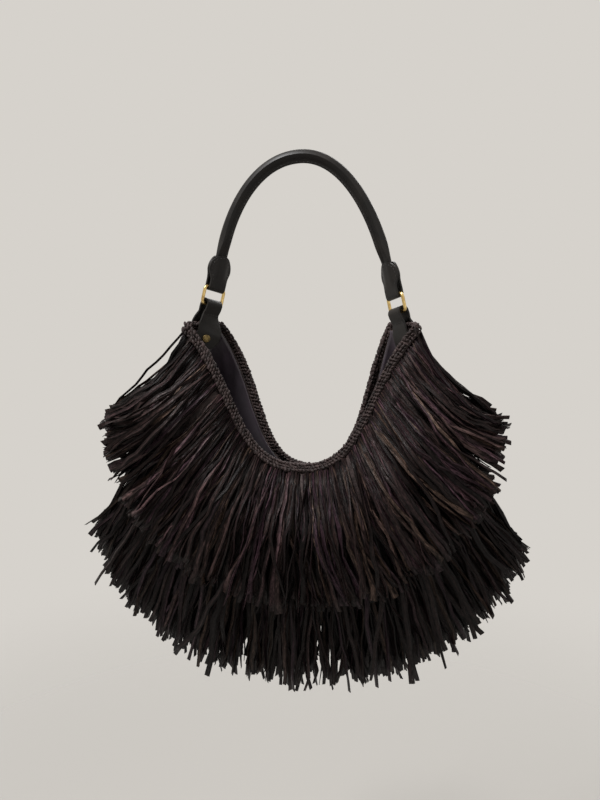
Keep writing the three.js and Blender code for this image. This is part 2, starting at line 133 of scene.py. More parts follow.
def sign_of(s: float) -> int:
    """Sign of X at a place along the mouth."""
    return -1 if s < 0.5 else 1


def cubic(points: Sequence[Vector], t: float) -> Vector:
    """Point of a cubic curve with four control points, at t from 0 to 1."""
    a, b, c, d = points
    return a * (1 - t) ** 3 + b * 3 * t * (1 - t) ** 2 + c * 3 * t * t * (1 - t) + d * t ** 3


def measure(line: Sequence[Vector]) -> list[float]:
    """Length of a line from its start to each of its points."""
    return [0.0, *accumulate((b - a).length for a, b in zip(line, line[1:]))]


def find_step(marks: Sequence[float], aim: float) -> tuple[int, float]:
    """Number of the last point before a length on a measured line, and the share of the step from there."""
    low = min(max(bisect_right(marks, aim) - 1, 0), len(marks) - 2)
    return low, (aim - marks[low]) / max(marks[low + 1] - marks[low], WELD)


def basis(x: Vector, y: Vector, z: Vector, origin: Vector) -> Matrix:
    """Matrix that takes the axes to x, y and z at a point."""
    return Matrix.Translation(origin) @ Matrix((x, y, z)).transposed().to_4x4()


def to_mesh(bm: BMesh, name: str) -> Mesh:
    """Turn a bmesh into a mesh and free it.

    Args:
        bm: the bmesh.
        name: name of the mesh.

    Returns:
        The mesh.
    """
    mesh = bpy.data.meshes.new(name)
    bm.to_mesh(mesh)
    bm.free()
    return mesh


def add_object(name: str, data: bpy.types.ID) -> Object:
    """Add an object to the scene.

    Args:
        name: its name.
        data: its mesh, lamp or camera.

    Returns:
        The object.
    """
    obj = bpy.data.objects.new(name, data)
    bpy.context.scene.collection.objects.link(obj)
    return obj


def shaped_grid(columns: int, rows: int, place: Placer) -> BMesh:
    """Lay a grid on a surface and weld it where the surface closes on itself.

    Args:
        columns: faces along the first direction.
        rows: faces along the second direction.
        place: gives the point for two numbers from 0 to 1.

    Returns:
        The grid, with its normals made consistent.
    """
    bm = bmesh.new()
    bm.loops.layers.uv.new("UVMap")
    bmesh.ops.create_grid(bm, x_segments=columns, y_segments=rows, size=0.5, calc_uvs=True)
    for vert in bm.verts:
        vert.co = place(vert.co.x + 0.5, vert.co.y + 0.5)
    bmesh.ops.remove_doubles(bm, verts=bm.verts, dist=WELD)
    bmesh.ops.recalc_face_normals(bm, faces=bm.faces)
    return bm


def stitches_at(places: Sequence[Matrix], segments: int, rings: int, length: float, width: float) -> BMesh:
    """Set one long bead a stitch.

    Args:
        places: one matrix a stitch, with X along it.
        segments: faces round a bead.
        rings: faces along it.
        length: its length in millimetres.
        width: its width and height in millimetres.

    Returns:
        All stitches in one mesh.
    """
    bead = bmesh.new()
    bmesh.ops.create_uvsphere(bead, u_segments=segments, v_segments=rings, radius=0.5)
    bmesh.ops.rotate(bead, verts=bead.verts, matrix=Matrix.Rotation(QUARTER, 3, "Y"))
    bmesh.ops.scale(bead, verts=bead.verts, vec=(length * MM, width * MM, width * MM))
    template = to_mesh(bead, "stitch_template")
    bm = bmesh.new()
    for _ in places:
        bm.from_mesh(template)
    verts = list(bm.verts)
    size = len(template.vertices)
    for k, matrix in enumerate(places):
        for vert in verts[k * size:(k + 1) * size]:
            vert.co = matrix @ vert.co
    return bm


@dataclass
class Piece:
    """A finished mesh object of the bag."""

    name: str
    slot: str
    stands_for: tuple[str, ...] = ()
    body: str = BAG

    def make(self, bm: BMesh, material: Material) -> Object:
        """Turn a bmesh into a smooth object that rides on its body.

        Args:
            bm: the mesh, freed here.
            material: its finish.

        Returns:
            The object.
        """
        mesh = to_mesh(bm, self.name)
        mesh.polygons.foreach_set("use_smooth", [True] * len(mesh.polygons))
        mesh.materials.append(material)
        obj = add_object(self.name, mesh)
        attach(obj, self.body)
        if self.stands_for:
            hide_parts(*self.stands_for)
        LOG.info("%s: %d faces", self.name, len(mesh.polygons))
        return obj


def thicken(obj: Object, thickness: float, offset: float) -> None:
    """Give a sheet its thickness.

    Args:
        obj: the sheet.
        thickness: wall in millimetres.
        offset: side that it grows to, from -1 inside to 1 outside.
    """
    wall = obj.modifiers.new("wall", "SOLIDIFY")
    wall.thickness = thickness * MM
    wall.offset = offset
    wall.use_even_offset = False


# Shader nodes


def set_node(tree: NodeTree, node: Node, settings: Sockets, links: Sockets) -> None:
    """Set and link a shader node.

    Args:
        tree: its node tree.
        node: the node.
        settings: input values or node properties by name or number.
        links: sources by input name or number; a node stands for its first output.
    """
    for name, value in settings.items():
        if isinstance(name, int) or name in node.inputs:
            node.inputs[name].default_value = value
        else:
            setattr(node, name, value)
    for name, source in links.items():
        tree.links.new(source.outputs[0] if isinstance(source, Node) else source, node.inputs[name])


def add_node(tree: NodeTree, kind: str, settings: Sockets | None = None,
             links: Sockets | None = None) -> Node:
    """Add a shader node.

    Args:
        tree: node tree that gets the node.
        kind: node type, without its leading ShaderNode.
        settings: as for set_node.
        links: as for set_node.

    Returns:
        The new node.
    """
    node = tree.nodes.new(f"ShaderNode{kind}")
    set_node(tree, node, settings or {}, links or {})
    return node


def new_material(name: str) -> tuple[Material, NodeTree, Node]:
    """Make an empty node material.

    Args:
        name: common name of the real material.

    Returns:
        The material, its tree and its Principled shader, already linked to the output.
    """
    material = bpy.data.materials.new(name)
    material.use_nodes = True
    tree = material.node_tree
    tree.nodes.clear()
    shader = add_node(tree, "BsdfPrincipled")
    add_node(tree, "OutputMaterial", links={"Surface": shader})
    return material, tree, shader


def in_space(tree: NodeTree) -> NodeSocket:
    """Place on the piece, in its own metres."""
    return add_node(tree, "TexCoord").outputs["Object"]


def clouds(tree: NodeTree, size: float, detail: float = 2.0, distortion: float = 0.0) -> Node:
    """Noise over a piece, with patches of a size in millimetres."""
    return add_node(tree, "TexNoise", {"Scale": 1 / (size * MM), "Detail": detail, "Distortion": distortion},
                    {"Vector": in_space(tree)})


def times(tree: NodeTree, a: Source, b: Source) -> Node:
    """Product of two values."""
    return add_node(tree, "Math", {"operation": "MULTIPLY"}, {0: a, 1: b})


def mapped(tree: NodeTree, source: Source, low: float, high: float, to: Pair) -> Node:
    """Value that goes from to[0] to to[1] while the source goes from low to high."""
    return add_node(tree, "MapRange", {"From Min": low, "From Max": high, "To Min": to[0], "To Max": to[1]},
                    {0: source})


def dyed(tree: NodeTree, source: Source, *stops: tuple[float, str]) -> Node:
    """Turn a value into a colour.

    Args:
        tree: node tree that gets the node.
        source: the value.
        stops: places along the value, with the colour there.

    Returns:
        The colour ramp.
    """
    node = add_node(tree, "ValToRGB", links={0: source})
    elements = node.color_ramp.elements
    while len(elements) < len(stops):
        elements.new(0.5)
    for element, (place, colour) in zip(elements, stops):
        element.position = place
        element.color = linear(colour)
    return node


def relief(tree: NodeTree, source: Source, strength: float, height: float) -> Node:
    """Bump of a height in millimetres."""
    return add_node(tree, "Bump", {"Strength": strength, "Distance": height * MM}, {"Height": source})


# Finishes, with their pattern sizes in millimetres


@dataclass(frozen=True)
class StrawRibbon:
    """Flat paper-straw ribbon: dyed near black, slightly glossy, creased along its length."""

    name: str = "paper straw ribbon"
    dyes: Dyes = ((0.0, "0d0808"), (0.5, "1b1312"), (0.78, "1f1419"), (0.9, "2b211c"))
    fibre_width: float = 0.35
    fibre_length: float = 14.0
    crease_width: float = 1.05
    crease_length: float = 5.0
    fibre_height: float = 0.35
    worn_over: Pair = (0.45, 0.8)
    worn: Pair = (0.55, 1.75)
    # Painted highlight and shade: the crease noise lightens and darkens the ribbon's colour where its cross
    # creases catch or lose the light.
    crease_light_over: Pair = (0.38, 0.68)
    crease_light: Pair = (0.4, 2.4)
    # Painted shade: each ribbon is lighter along its middle and darker towards its sides, as light falls on a
    # rounded strip.
    edge_from: float = 0.7
    edge_to: float = 2.2
    painted_edge_shade: Pair = (1.25, 0.3)
    gloss_over: Pair = (0.3, 0.7)
    gloss: Pair = (0.62, 0.3)
    bump: Pair = (0.8, 0.6)
    specular: float = 0.13
    apart: float = 91.0

    def material(self) -> Material:
        """Build the material.

        The dye varies from ribbon to ribbon, and fine fibres and cross creases break up the gloss. The fibres
        also streak the colour, the creases carry painted highlights and shade, and each ribbon is painted
        darker towards its sides as shade.

        Returns:
            The material, which reads the attributes ribbon, with run and girth in metres and a tone,
            and shade, painted shade and highlight that darkens the strands deep in the fringe and lightens
            the outer ones.
        """
        material, tree, shader = new_material(self.name)
        ribbon = add_node(tree, "Attribute", {"attribute_name": "ribbon"}).outputs["Vector"]
        # The shade attribute is painted shade and highlight, set per strand by how deep it lies in the
        # fringe.
        shade = add_node(tree, "Attribute", {"attribute_name": "shade"}).outputs["Fac"]
        _, girth, tone = add_node(tree, "SeparateXYZ", links={0: ribbon}).outputs
        far = add_node(tree, "Math", {"operation": "MULTIPLY", 1: self.apart}, {0: tone})
        shift = add_node(tree, "CombineXYZ", links={0: far, 1: far, 2: far})
        strand = add_node(tree, "VectorMath", {"operation": "MULTIPLY", 1: (1, 1, 0)}, {0: ribbon})
        patterns = []
        for length, width, detail, distortion in ((self.fibre_length, self.fibre_width, 2.0, 0.0),
                                                  (self.crease_length, self.crease_width, 3.0, 0.6)):
            scale = (1 / (length * MM), 1 / (width * MM), 1)
            stretch = {"operation": "MULTIPLY_ADD", 1: scale}
            place = add_node(tree, "VectorMath", stretch, {0: strand, 2: shift})
            grain = {"Scale": 1.0, "Detail": detail, "Distortion": distortion}
            patterns.append(add_node(tree, "TexNoise", grain, {"Vector": place}))
        fibre, crease = patterns
        dye = dyed(tree, tone, *self.dyes)
        worn = mapped(tree, fibre, *self.worn_over, self.worn)
        # The fibre streaks are the ribbon's own tone; the crease factor is painted highlight and shade on its
        # creases.
        streaks_and_crease_light = times(tree, worn, mapped(tree, crease, *self.crease_light_over, self.crease_light))
        # Painted shade towards the ribbon's sides, from how far a point lies from its middle.
        aside = add_node(tree, "Math", {"operation": "ABSOLUTE"}, {0: girth})
        edge = mapped(tree, aside, self.edge_from * MM, self.edge_to * MM, self.painted_edge_shade)
        # The colour is scaled by the fibre streaks, the painted crease light, the painted depth shade and the
        # painted edge shade.
        painted_light_and_tone = times(tree, times(tree, streaks_and_crease_light, shade), edge)
        colour = add_node(tree, "VectorMath", {"operation": "SCALE"}, {0: dye, "Scale": painted_light_and_tone})
        mix = {"operation": "MULTIPLY_ADD", 1: self.fibre_height}
        height = add_node(tree, "Math", mix, {0: fibre, 2: crease})
        set_node(tree, shader, {"Specular IOR Level": self.specular},
                 {"Base Color": colour, "Roughness": mapped(tree, crease, *self.gloss_over, self.gloss),
                  "Normal": relief(tree, height, *self.bump)})
        return material


@dataclass(frozen=True)
class CrochetStraw:
    """Crocheted paper yarn: the fringe's straw twisted into thread, matt with fine twisted strands."""

    name: str = "crocheted paper yarn"
    # The dark stop is painted shade in the yarn's gaps, the pale stop a painted highlight on the yarn.
    dyes: Dyes = ((0.12, "0e0a09"), (0.42, "524341"))
    drift: float = 6.0
    twist: float = 1.1
    bump: Pair = (0.7, 0.6)
    roughness: float = 0.58
    specular: float = 0.25

    def material(self) -> Material:
        """Build the material, whose tone drifts over the cloth and whose yarn shows its twist in relief and
        in painted light and shade.

        Returns:
            The straw.
        """
        material, tree, shader = new_material(self.name)
        strands = clouds(tree, self.twist, distortion=1.2)
        # Partly painted light: the twist noise and a slow random drift run the colour from near black,
        # painted shade in the gaps, to a pale brown painted highlight.
        tone = times(tree, clouds(tree, self.drift, detail=3.0), strands)
        set_node(tree, shader, {"Roughness": self.roughness, "Specular IOR Level": self.specular},
                 {"Base Color": dyed(tree, tone, *self.dyes), "Normal": relief(tree, strands, *self.bump)})
        return material


@dataclass(frozen=True)
class SmoothLeather:
    """Dyed, pressed cowhide: fine pebbled grain, soft sheen, a little paler where it is worn."""

    name: str = "smooth black leather"
    dyes: Dyes = ((0.35, "110f0e"), (0.75, "25211e"))
    grain: float = 0.8
    patch: float = 14.0
    bump: Pair = (0.22, 0.25)
    gloss_over: Pair = (0.3, 0.7)
    gloss: Pair = (0.39, 0.55)
    specular: float = 0.25

    def material(self) -> Material:
        """Build the material: cells of grain in the bump, slow patches in dye and gloss.

        Returns:
            The leather.
        """
        material, tree, shader = new_material(self.name)
        cells = add_node(tree, "TexVoronoi", {"Scale": 1 / (self.grain * MM)}, {"Vector": in_space(tree)})
        patches = clouds(tree, self.patch, detail=4.0)
        set_node(tree, shader, {"Specular IOR Level": self.specular},
                 {"Base Color": dyed(tree, patches, *self.dyes),
                  "Roughness": mapped(tree, patches, *self.gloss_over, self.gloss),
                  "Normal": relief(tree, cells, *self.bump)})
        return material


@dataclass(frozen=True)
class BrassWire:
    """Drawn brass: a clear metal gloss, with handling marks that soften it in places."""

    name: str = "polished brass"
    dyes: Dyes = ((0.3, "b3945a"), (0.6, "e2c687"))
    patch: float = 4.0
    gloss: Pair = (0.32, 0.2)

    def material(self) -> Material:
        """Build the metal, whose colour and gloss wander slowly.

        Returns:
            The brass.
        """
        material, tree, shader = new_material(self.name)
        marks = clouds(tree, self.patch, detail=4.0)
        set_node(tree, shader, {"Metallic": 1.0},
                 {"Base Color": dyed(tree, marks, *self.dyes),
                  "Roughness": mapped(tree, marks, 0.0, 1.0, self.gloss)})
        return material


@dataclass(frozen=True)
class SatinLining:
    """Woven satin: a smooth plum-black cloth with a soft silky sheen."""

    name: str = "plum-black satin"
    dyes: Dyes = ((0.3, "231c22"), (0.7, "463a44"))
    fold: float = 30.0
    thread: float = 12.0
    bump: Pair = (0.08, 0.2)
    roughness: float = 0.4
    sheen: float = 0.25

    def material(self) -> Material:
        """Build the cloth, with painted light and shade of soft folds in its colour; its threads are drawn
        coarser than life so that they show.

        Returns:
            The satin.
        """
        material, tree, shader = new_material(self.name)
        weave = add_node(tree, "TexWave", {"Scale": 1 / (self.thread * MM), "bands_direction": "DIAGONAL"},
                         {"Vector": in_space(tree)})
        # Painted light and shade: the fold noise runs the colour from plum-black to a lighter plum, as soft
        # highlights and shade on folds.
        folds = clouds(tree, self.fold)
        set_node(tree, shader, {"Roughness": self.roughness, "Sheen Weight": self.sheen},
                 {"Base Color": dyed(tree, folds, *self.dyes),
                  "Normal": relief(tree, weave.outputs["Fac"], *self.bump)})
        return material


@dataclass(frozen=True)
class TwistedThread:
    """Twisted thread or cord, whose turns are painted in fine light and shade."""

    name: str
    dyes: Dyes
    twist: float
    roughness: float

    def material(self) -> Material:
        """Build the thread.

        Returns:
            The thread.
        """
        material, tree, shader = new_material(self.name)
        # Painted light and shade: the twist noise runs the colour from the darker stop, painted shade between
        # the turns, to the lighter stop on them.
        colour = dyed(tree, clouds(tree, self.twist), *self.dyes)
        set_node(tree, shader, {"Roughness": self.roughness}, {"Base Color": colour})
        return material


# Pouch and edging, with their sizes in millimetres


@dataclass
class CubicArc:
    """A cubic curve in X and Z, walked by its length."""

    points: tuple[Pair, ...]
    samples: int = 120

    def __post_init__(self) -> None:
        """Measure the curve."""
        ends = [Vector(p) for p in self.points]
        self.line = [cubic(ends, k / self.samples) for k in range(self.samples + 1)]
        self.marks = measure(self.line)

    def at(self, share: float) -> Vector:
        """X and Z at a share of the length."""
        low, t = find_step(self.marks, clamp(share) * self.marks[-1])
        return self.line[low].lerp(self.line[low + 1], t)


def rim(*points: Pair) -> CubicArc:
    """Outline of the right half of the mouth on a face."""
    return field(default_factory=lambda: CubicArc(points))


@dataclass
class PouchForm:
    """The half-moon pouch: mouth outlines, lower edge and belly."""

    front_rim: CubicArc = rim((102.5, -141), (57, -198), (62, -274), (0, -274))
    back_rim: CubicArc = rim((79.5, -142), (45, -200), (54, -279), (0, -279))
    middle_depth: float = 9
    front_end_depth: float = 20
    back_end_depth: float = 14
    depth_rise: float = 0.7
    back_shift: float = 7
    edge_half_width: float = 147
    edge_half_height: float = 169
    edge_centre: float = -235
    edge_sweep: float = math.radians(85)
    edge_gather: float = 2.2
    edge_depth: float = 9
    end_round: float = 7
    front_belly: float = 24
    back_belly: float = 18
    belly_high: float = 0.8
    belly_fade: float = 4

    def rim_point(self, face: Face, s: float) -> Vector:
        """Point of the mouth's edge.

        Args:
            face: front or back.
            s: from 0 at the left end to 1 at the right.

        Returns:
            The point in metres.
        """
        v = off_middle(s)
        front = face is Face.FRONT
        outline = (self.front_rim if front else self.back_rim).at(1 - v)
        end_depth = self.front_end_depth if front else self.back_end_depth
        depth = lerp(self.middle_depth, end_depth, v ** self.depth_rise)
        shift = 0 if front else self.back_shift * (1 - v ** 4)
        return Vector((sign_of(s) * outline.x + shift, face.value * depth, outline.y)) * MM

    def edge_point(self, s: float) -> Vector:
        """Point of the lower edge below a place of the mouth, in metres.

        Args:
            s: place along the mouth, 0 left to 1 right.

        Returns:
            The point.
        """
        angle = QUARTER - self.edge_sweep * (1 - (1 - off_middle(s)) ** self.edge_gather)
        x = sign_of(s) * self.edge_half_width * math.cos(angle)
        return Vector((x, 0, self.edge_centre - self.edge_half_height * math.sin(angle))) * MM

    def length(self, face: Face, s: float) -> float:
        """Length of the panel from mouth to lower edge, in metres."""
        run = self.edge_point(s) - self.rim_point(face, s)
        return math.hypot(run.x, run.z)

    def panel_point(self, face: Face, s: float, distance: float) -> Vector:
        """Point of the outer cloth.

        Args:
            face: front or back.
            s: place along the mouth.
            distance: metres down from the mouth.

        Returns:
            The point in metres.
        """
        top, edge = self.rim_point(face, s), self.edge_point(s)
        share = clamp(distance / self.length(face, s))
        belly = (self.front_belly if face is Face.FRONT else self.back_belly) * MM
        swell = belly * math.sin(math.pi * share ** self.belly_high) * (1 - off_middle(s) ** self.belly_fade)
        depth = lerp(top.y, face.value * self.edge_depth * MM, share ** 2) + face.value * swell
        return Vector((lerp(top.x, edge.x, share), depth, lerp(top.z, edge.z, share)))

    def end_middle(self, side: Side, distances: Sequence[float]) -> Vector:
        """Point midway between front and back of an end, at a distance down from the mouth on each."""
        front, back = (self.panel_point(face, side.s, d) for face, d in zip(Face, distances))
        return front.lerp(back, 0.5)

    def end_point(self, side: Side, share: float) -> Vector:
        """Point on the middle line of an end wall, at a share of its depth."""
        middle = self.end_middle(side, [share * self.length(face, side.s) for face in Face])
        return middle + Vector((side.value * self.end_round * MM * share ** 3, 0, 0))


@dataclass
class Pouch:
    """Crocheted pouch and its lining, both lofted from the mouth down to the lower edge."""

    form: PouchForm
    columns: int = 72
    rows: int = 36
    band: float = 6.0
    wall: float = 2.2
    lining_gap: float = 3.2
    lining_wall: float = 0.8
    crumple: float = 1.4
    folds_a_metre: float = 28.0
    seam_weld: float = 0.02

    def place(self, u: float, v: float) -> Vector:
        """Point of the outer cloth.

        Args:
            u: from the left end wall to the right one.
            v: from the front mouth under the bag to the back mouth.

        Returns:
            The point in metres.
        """
        face = Face.FRONT if v <= 0.5 else Face.BACK
        down = 2 * v if v <= 0.5 else 2 - 2 * v
        s = (u * self.columns - 1) / (self.columns - 2)
        top = self.band * MM
        if s < -WELD or s > 1 + WELD:
            side = Side.LEFT if s < 0 else Side.RIGHT
            return self.form.end_point(side, lerp(top / self.form.length(Face.FRONT, 0.0), 1, down))
        s = clamp(s)
        return self.form.panel_point(face, s, lerp(top, self.form.length(face, s), down))

    def cloth(self, inset: float, crumple: float) -> BMesh:
        """Mesh of the pouch.

        Args:
            inset: metres that the cloth lies inside the outer form.
            crumple: height of its soft folds in metres.

        Returns:
            The open sheet, facing out.
        """
        bm = shaped_grid(self.columns, 2 * self.rows, self.place)
        bmesh.ops.remove_doubles(bm, verts=bm.verts, dist=self.seam_weld * MM)
        bmesh.ops.recalc_face_normals(bm, faces=bm.faces)
        bm.normal_update()
        lowest = min(bm.faces, key=lambda f: f.calc_center_median().z)
        if lowest.normal.z > 0:
            bmesh.ops.reverse_faces(bm, faces=bm.faces)
            bm.normal_update()
        for vert in bm.verts:
            fold = noise.noise(vert.co * self.folds_a_metre) * crumple
            vert.co += vert.normal * -(inset + abs(fold))
        return bm

    def build(self, crochet: Material, satin: Material) -> tuple[Object, Object]:
        """Make the pouch and the lining.

        Args:
            crochet: finish of the pouch.
            satin: finish of the lining.

        Returns:
            The pouch and the lining.
        """
        outside = Piece("crochet_pouch", "crochet", ("crochet_shell",)).make(self.cloth(0.0, 0.0), crochet)
        thicken(outside, self.wall, -1)
        inner = self.cloth(self.lining_gap * MM, self.crumple * MM)
        inside = Piece("satin_lining", "lining_satin", ("lining",)).make(inner, satin)
        thicken(inside, self.lining_wall, -1)
        return outside, inside


@dataclass
class MouthEdging:
    """Crocheted edging: a padded band round the mouth under rows of slanting stitches."""

    form: PouchForm
    band: float = 9.0
    proud: float = 0.5
    inside: float = 3.0
    pad: tuple[Pair, ...] = ((0.06, 0.9), (0.5, 0.5), (0.98, 0.8))
    pad_top: float = -1.3
    pad_bottom: float = -1.4
    pad_steps: int = 260
    steps: int = 96
    wall_steps: int = 10
    rows: int = 3
    pitch: float = 3.5
    stitch_length: float = 4.7
    stitch_width: float = 2.7
    sunk: float = 0.1
    lean: float = 36
    lean_spread: float = 26
    sizes: Pair = (0.7, 1.3)
    bulges: Pair = (0.75, 1.3)
    crown_lean: Pair = (0.8, 0.6)
    crown_in: float = 1.3
    crown_down: float = 0.2
    seed: int = 11

    def __post_init__(self) -> None:
        """Walk once round the mouth: front, right end, back, left end, with the line one band below."""
        shares = [k / self.steps for k in range(self.steps + 1)]
        bridge = [k / self.wall_steps for k in range(1, self.wall_steps)]
        lines = []
        for distance in (0.0, self.band * MM):
            front = [self.form.panel_point(Face.FRONT, s, distance) for s in shares]
            back = [self.form.panel_point(Face.BACK, 1 - s, distance) for s in shares]
            lines.append([*front, *(front[-1].lerp(back[0], t) for t in bridge),
                          *back, *(back[-1].lerp(front[0], t) for t in bridge)])
        self.top, self.below = lines
        self.marks = measure([*self.top, self.top[0]])

    def at(self, share: float) -> tuple[Vector, Vector, Vector, Vector]:
        """Find a place on the walk.

        Args:
            share: how far round it is.

        Returns:
            The point on the mouth's edge, and the run, the way down and the way out there.
        """
        total, size = self.marks[-1], len(self.top)
        low, t = find_step(self.marks, share * total % total)
        high = low + 1
        top = self.top[low].lerp(self.top[high % size], t)
        below = self.below[low].lerp(self.below[high % size], t)
        run = (self.top[(high + 1) % size] - self.top[low - 1]).normalized()
        down = (below - top).normalized()
        return top, run, down, run.cross(down).normalized()

    def padding(self) -> BMesh:
        """Make the band under the stitches.

        Returns:
            The closed band.
        """
        outline = [*((deep, self.proud - sink) for deep, sink in self.pad), (1.0, self.pad_bottom),
                   *((deep, sink - self.inside) for deep, sink in reversed(self.pad)), (0.0, self.pad_top)]

        def place(u: float, v: float) -> Vector:
            """Point of the band: u round its outline, v along the walk.

            Args:
                u: share of its outline.
                v: share of the walk.

            Returns:
                The point in metres.
            """
            top, _, down, out = self.at(v)
            deep, depth = outline[round(u * len(outline)) % len(outline)]
            return top + down * deep * self.band * MM + out * (depth * MM)

        return shaped_grid(len(outline), self.pad_steps, place)

    def stitches(self) -> list[Matrix]:
        """Places of the stitches.

        Returns:
            One matrix a stitch: rows on both faces, then the crown along the top.
        """
        rng = random.Random(self.seed)
        places = []
        count = round(self.marks[-1] / (self.pitch * MM))
        faces = ((self.proud * MM - self.sunk * MM, 1), (-self.inside * MM + self.sunk * MM, -1))
        for row in range(self.rows):
            deep = (row + 0.5) / self.rows * self.band * MM
            for k in range(count):
                top, run, down, out = self.at((k + 0.5 * (row % 2)) / count)
                lean = math.radians(self.lean + rng.gauss(0, self.lean_spread))
                along = run * math.cos(lean) + down * math.sin(lean)
                for depth, flip in faces:
                    across = out.cross(along) * flip
                    size = rng.uniform(*self.sizes)
                    bulge = out * flip * rng.uniform(*self.bulges)
                    places.append(basis(along * size, across * size, bulge, top + down * deep + out * depth))
        for k in range(count):
            top, run, down, out = self.at((k + 0.25) / count)
            ahead, aside = self.crown_lean
            along = (run * ahead + out * aside * (1 if k % 2 else -1)).normalized()
            places.append(basis(along, out.cross(along).cross(along).normalized(), down * -1,
                                top - out * self.crown_in * MM + down * self.crown_down * MM))
        return places

    def build(self, crochet: Material) -> Object:
        """Make the band and its stitches as one piece.

        Args:
            crochet: the finish.

        Returns:
            The edging.
        """
        bm = self.padding()
        loops = stitches_at(self.stitches(), segments=6, rings=5, length=self.stitch_length,
                            width=self.stitch_width)
        bm.from_mesh(to_mesh(loops, "loops"))
        return Piece("mouth_edging", "crochet", ("rim_edging",)).make(bm, crochet)


# Fringe, with its sizes in millimetres


def wave(phase: float, place: float, depth: float = 1.0) -> Vector:
    """Slow bend of a strand at a place along it, with its share in depth."""
    x, y, z = (noise.noise((phase, place, row)) for row in (0, 9, 5))
    return Vector((x, depth * y, z))


@dataclass
class Bunch:
    """A few strands knotted into one stitch: its place, the way they swing and how far they stand off."""

    s: float = 0.0
    drift: float = 0.0
    lift: float = 0.0
    left: int = 0


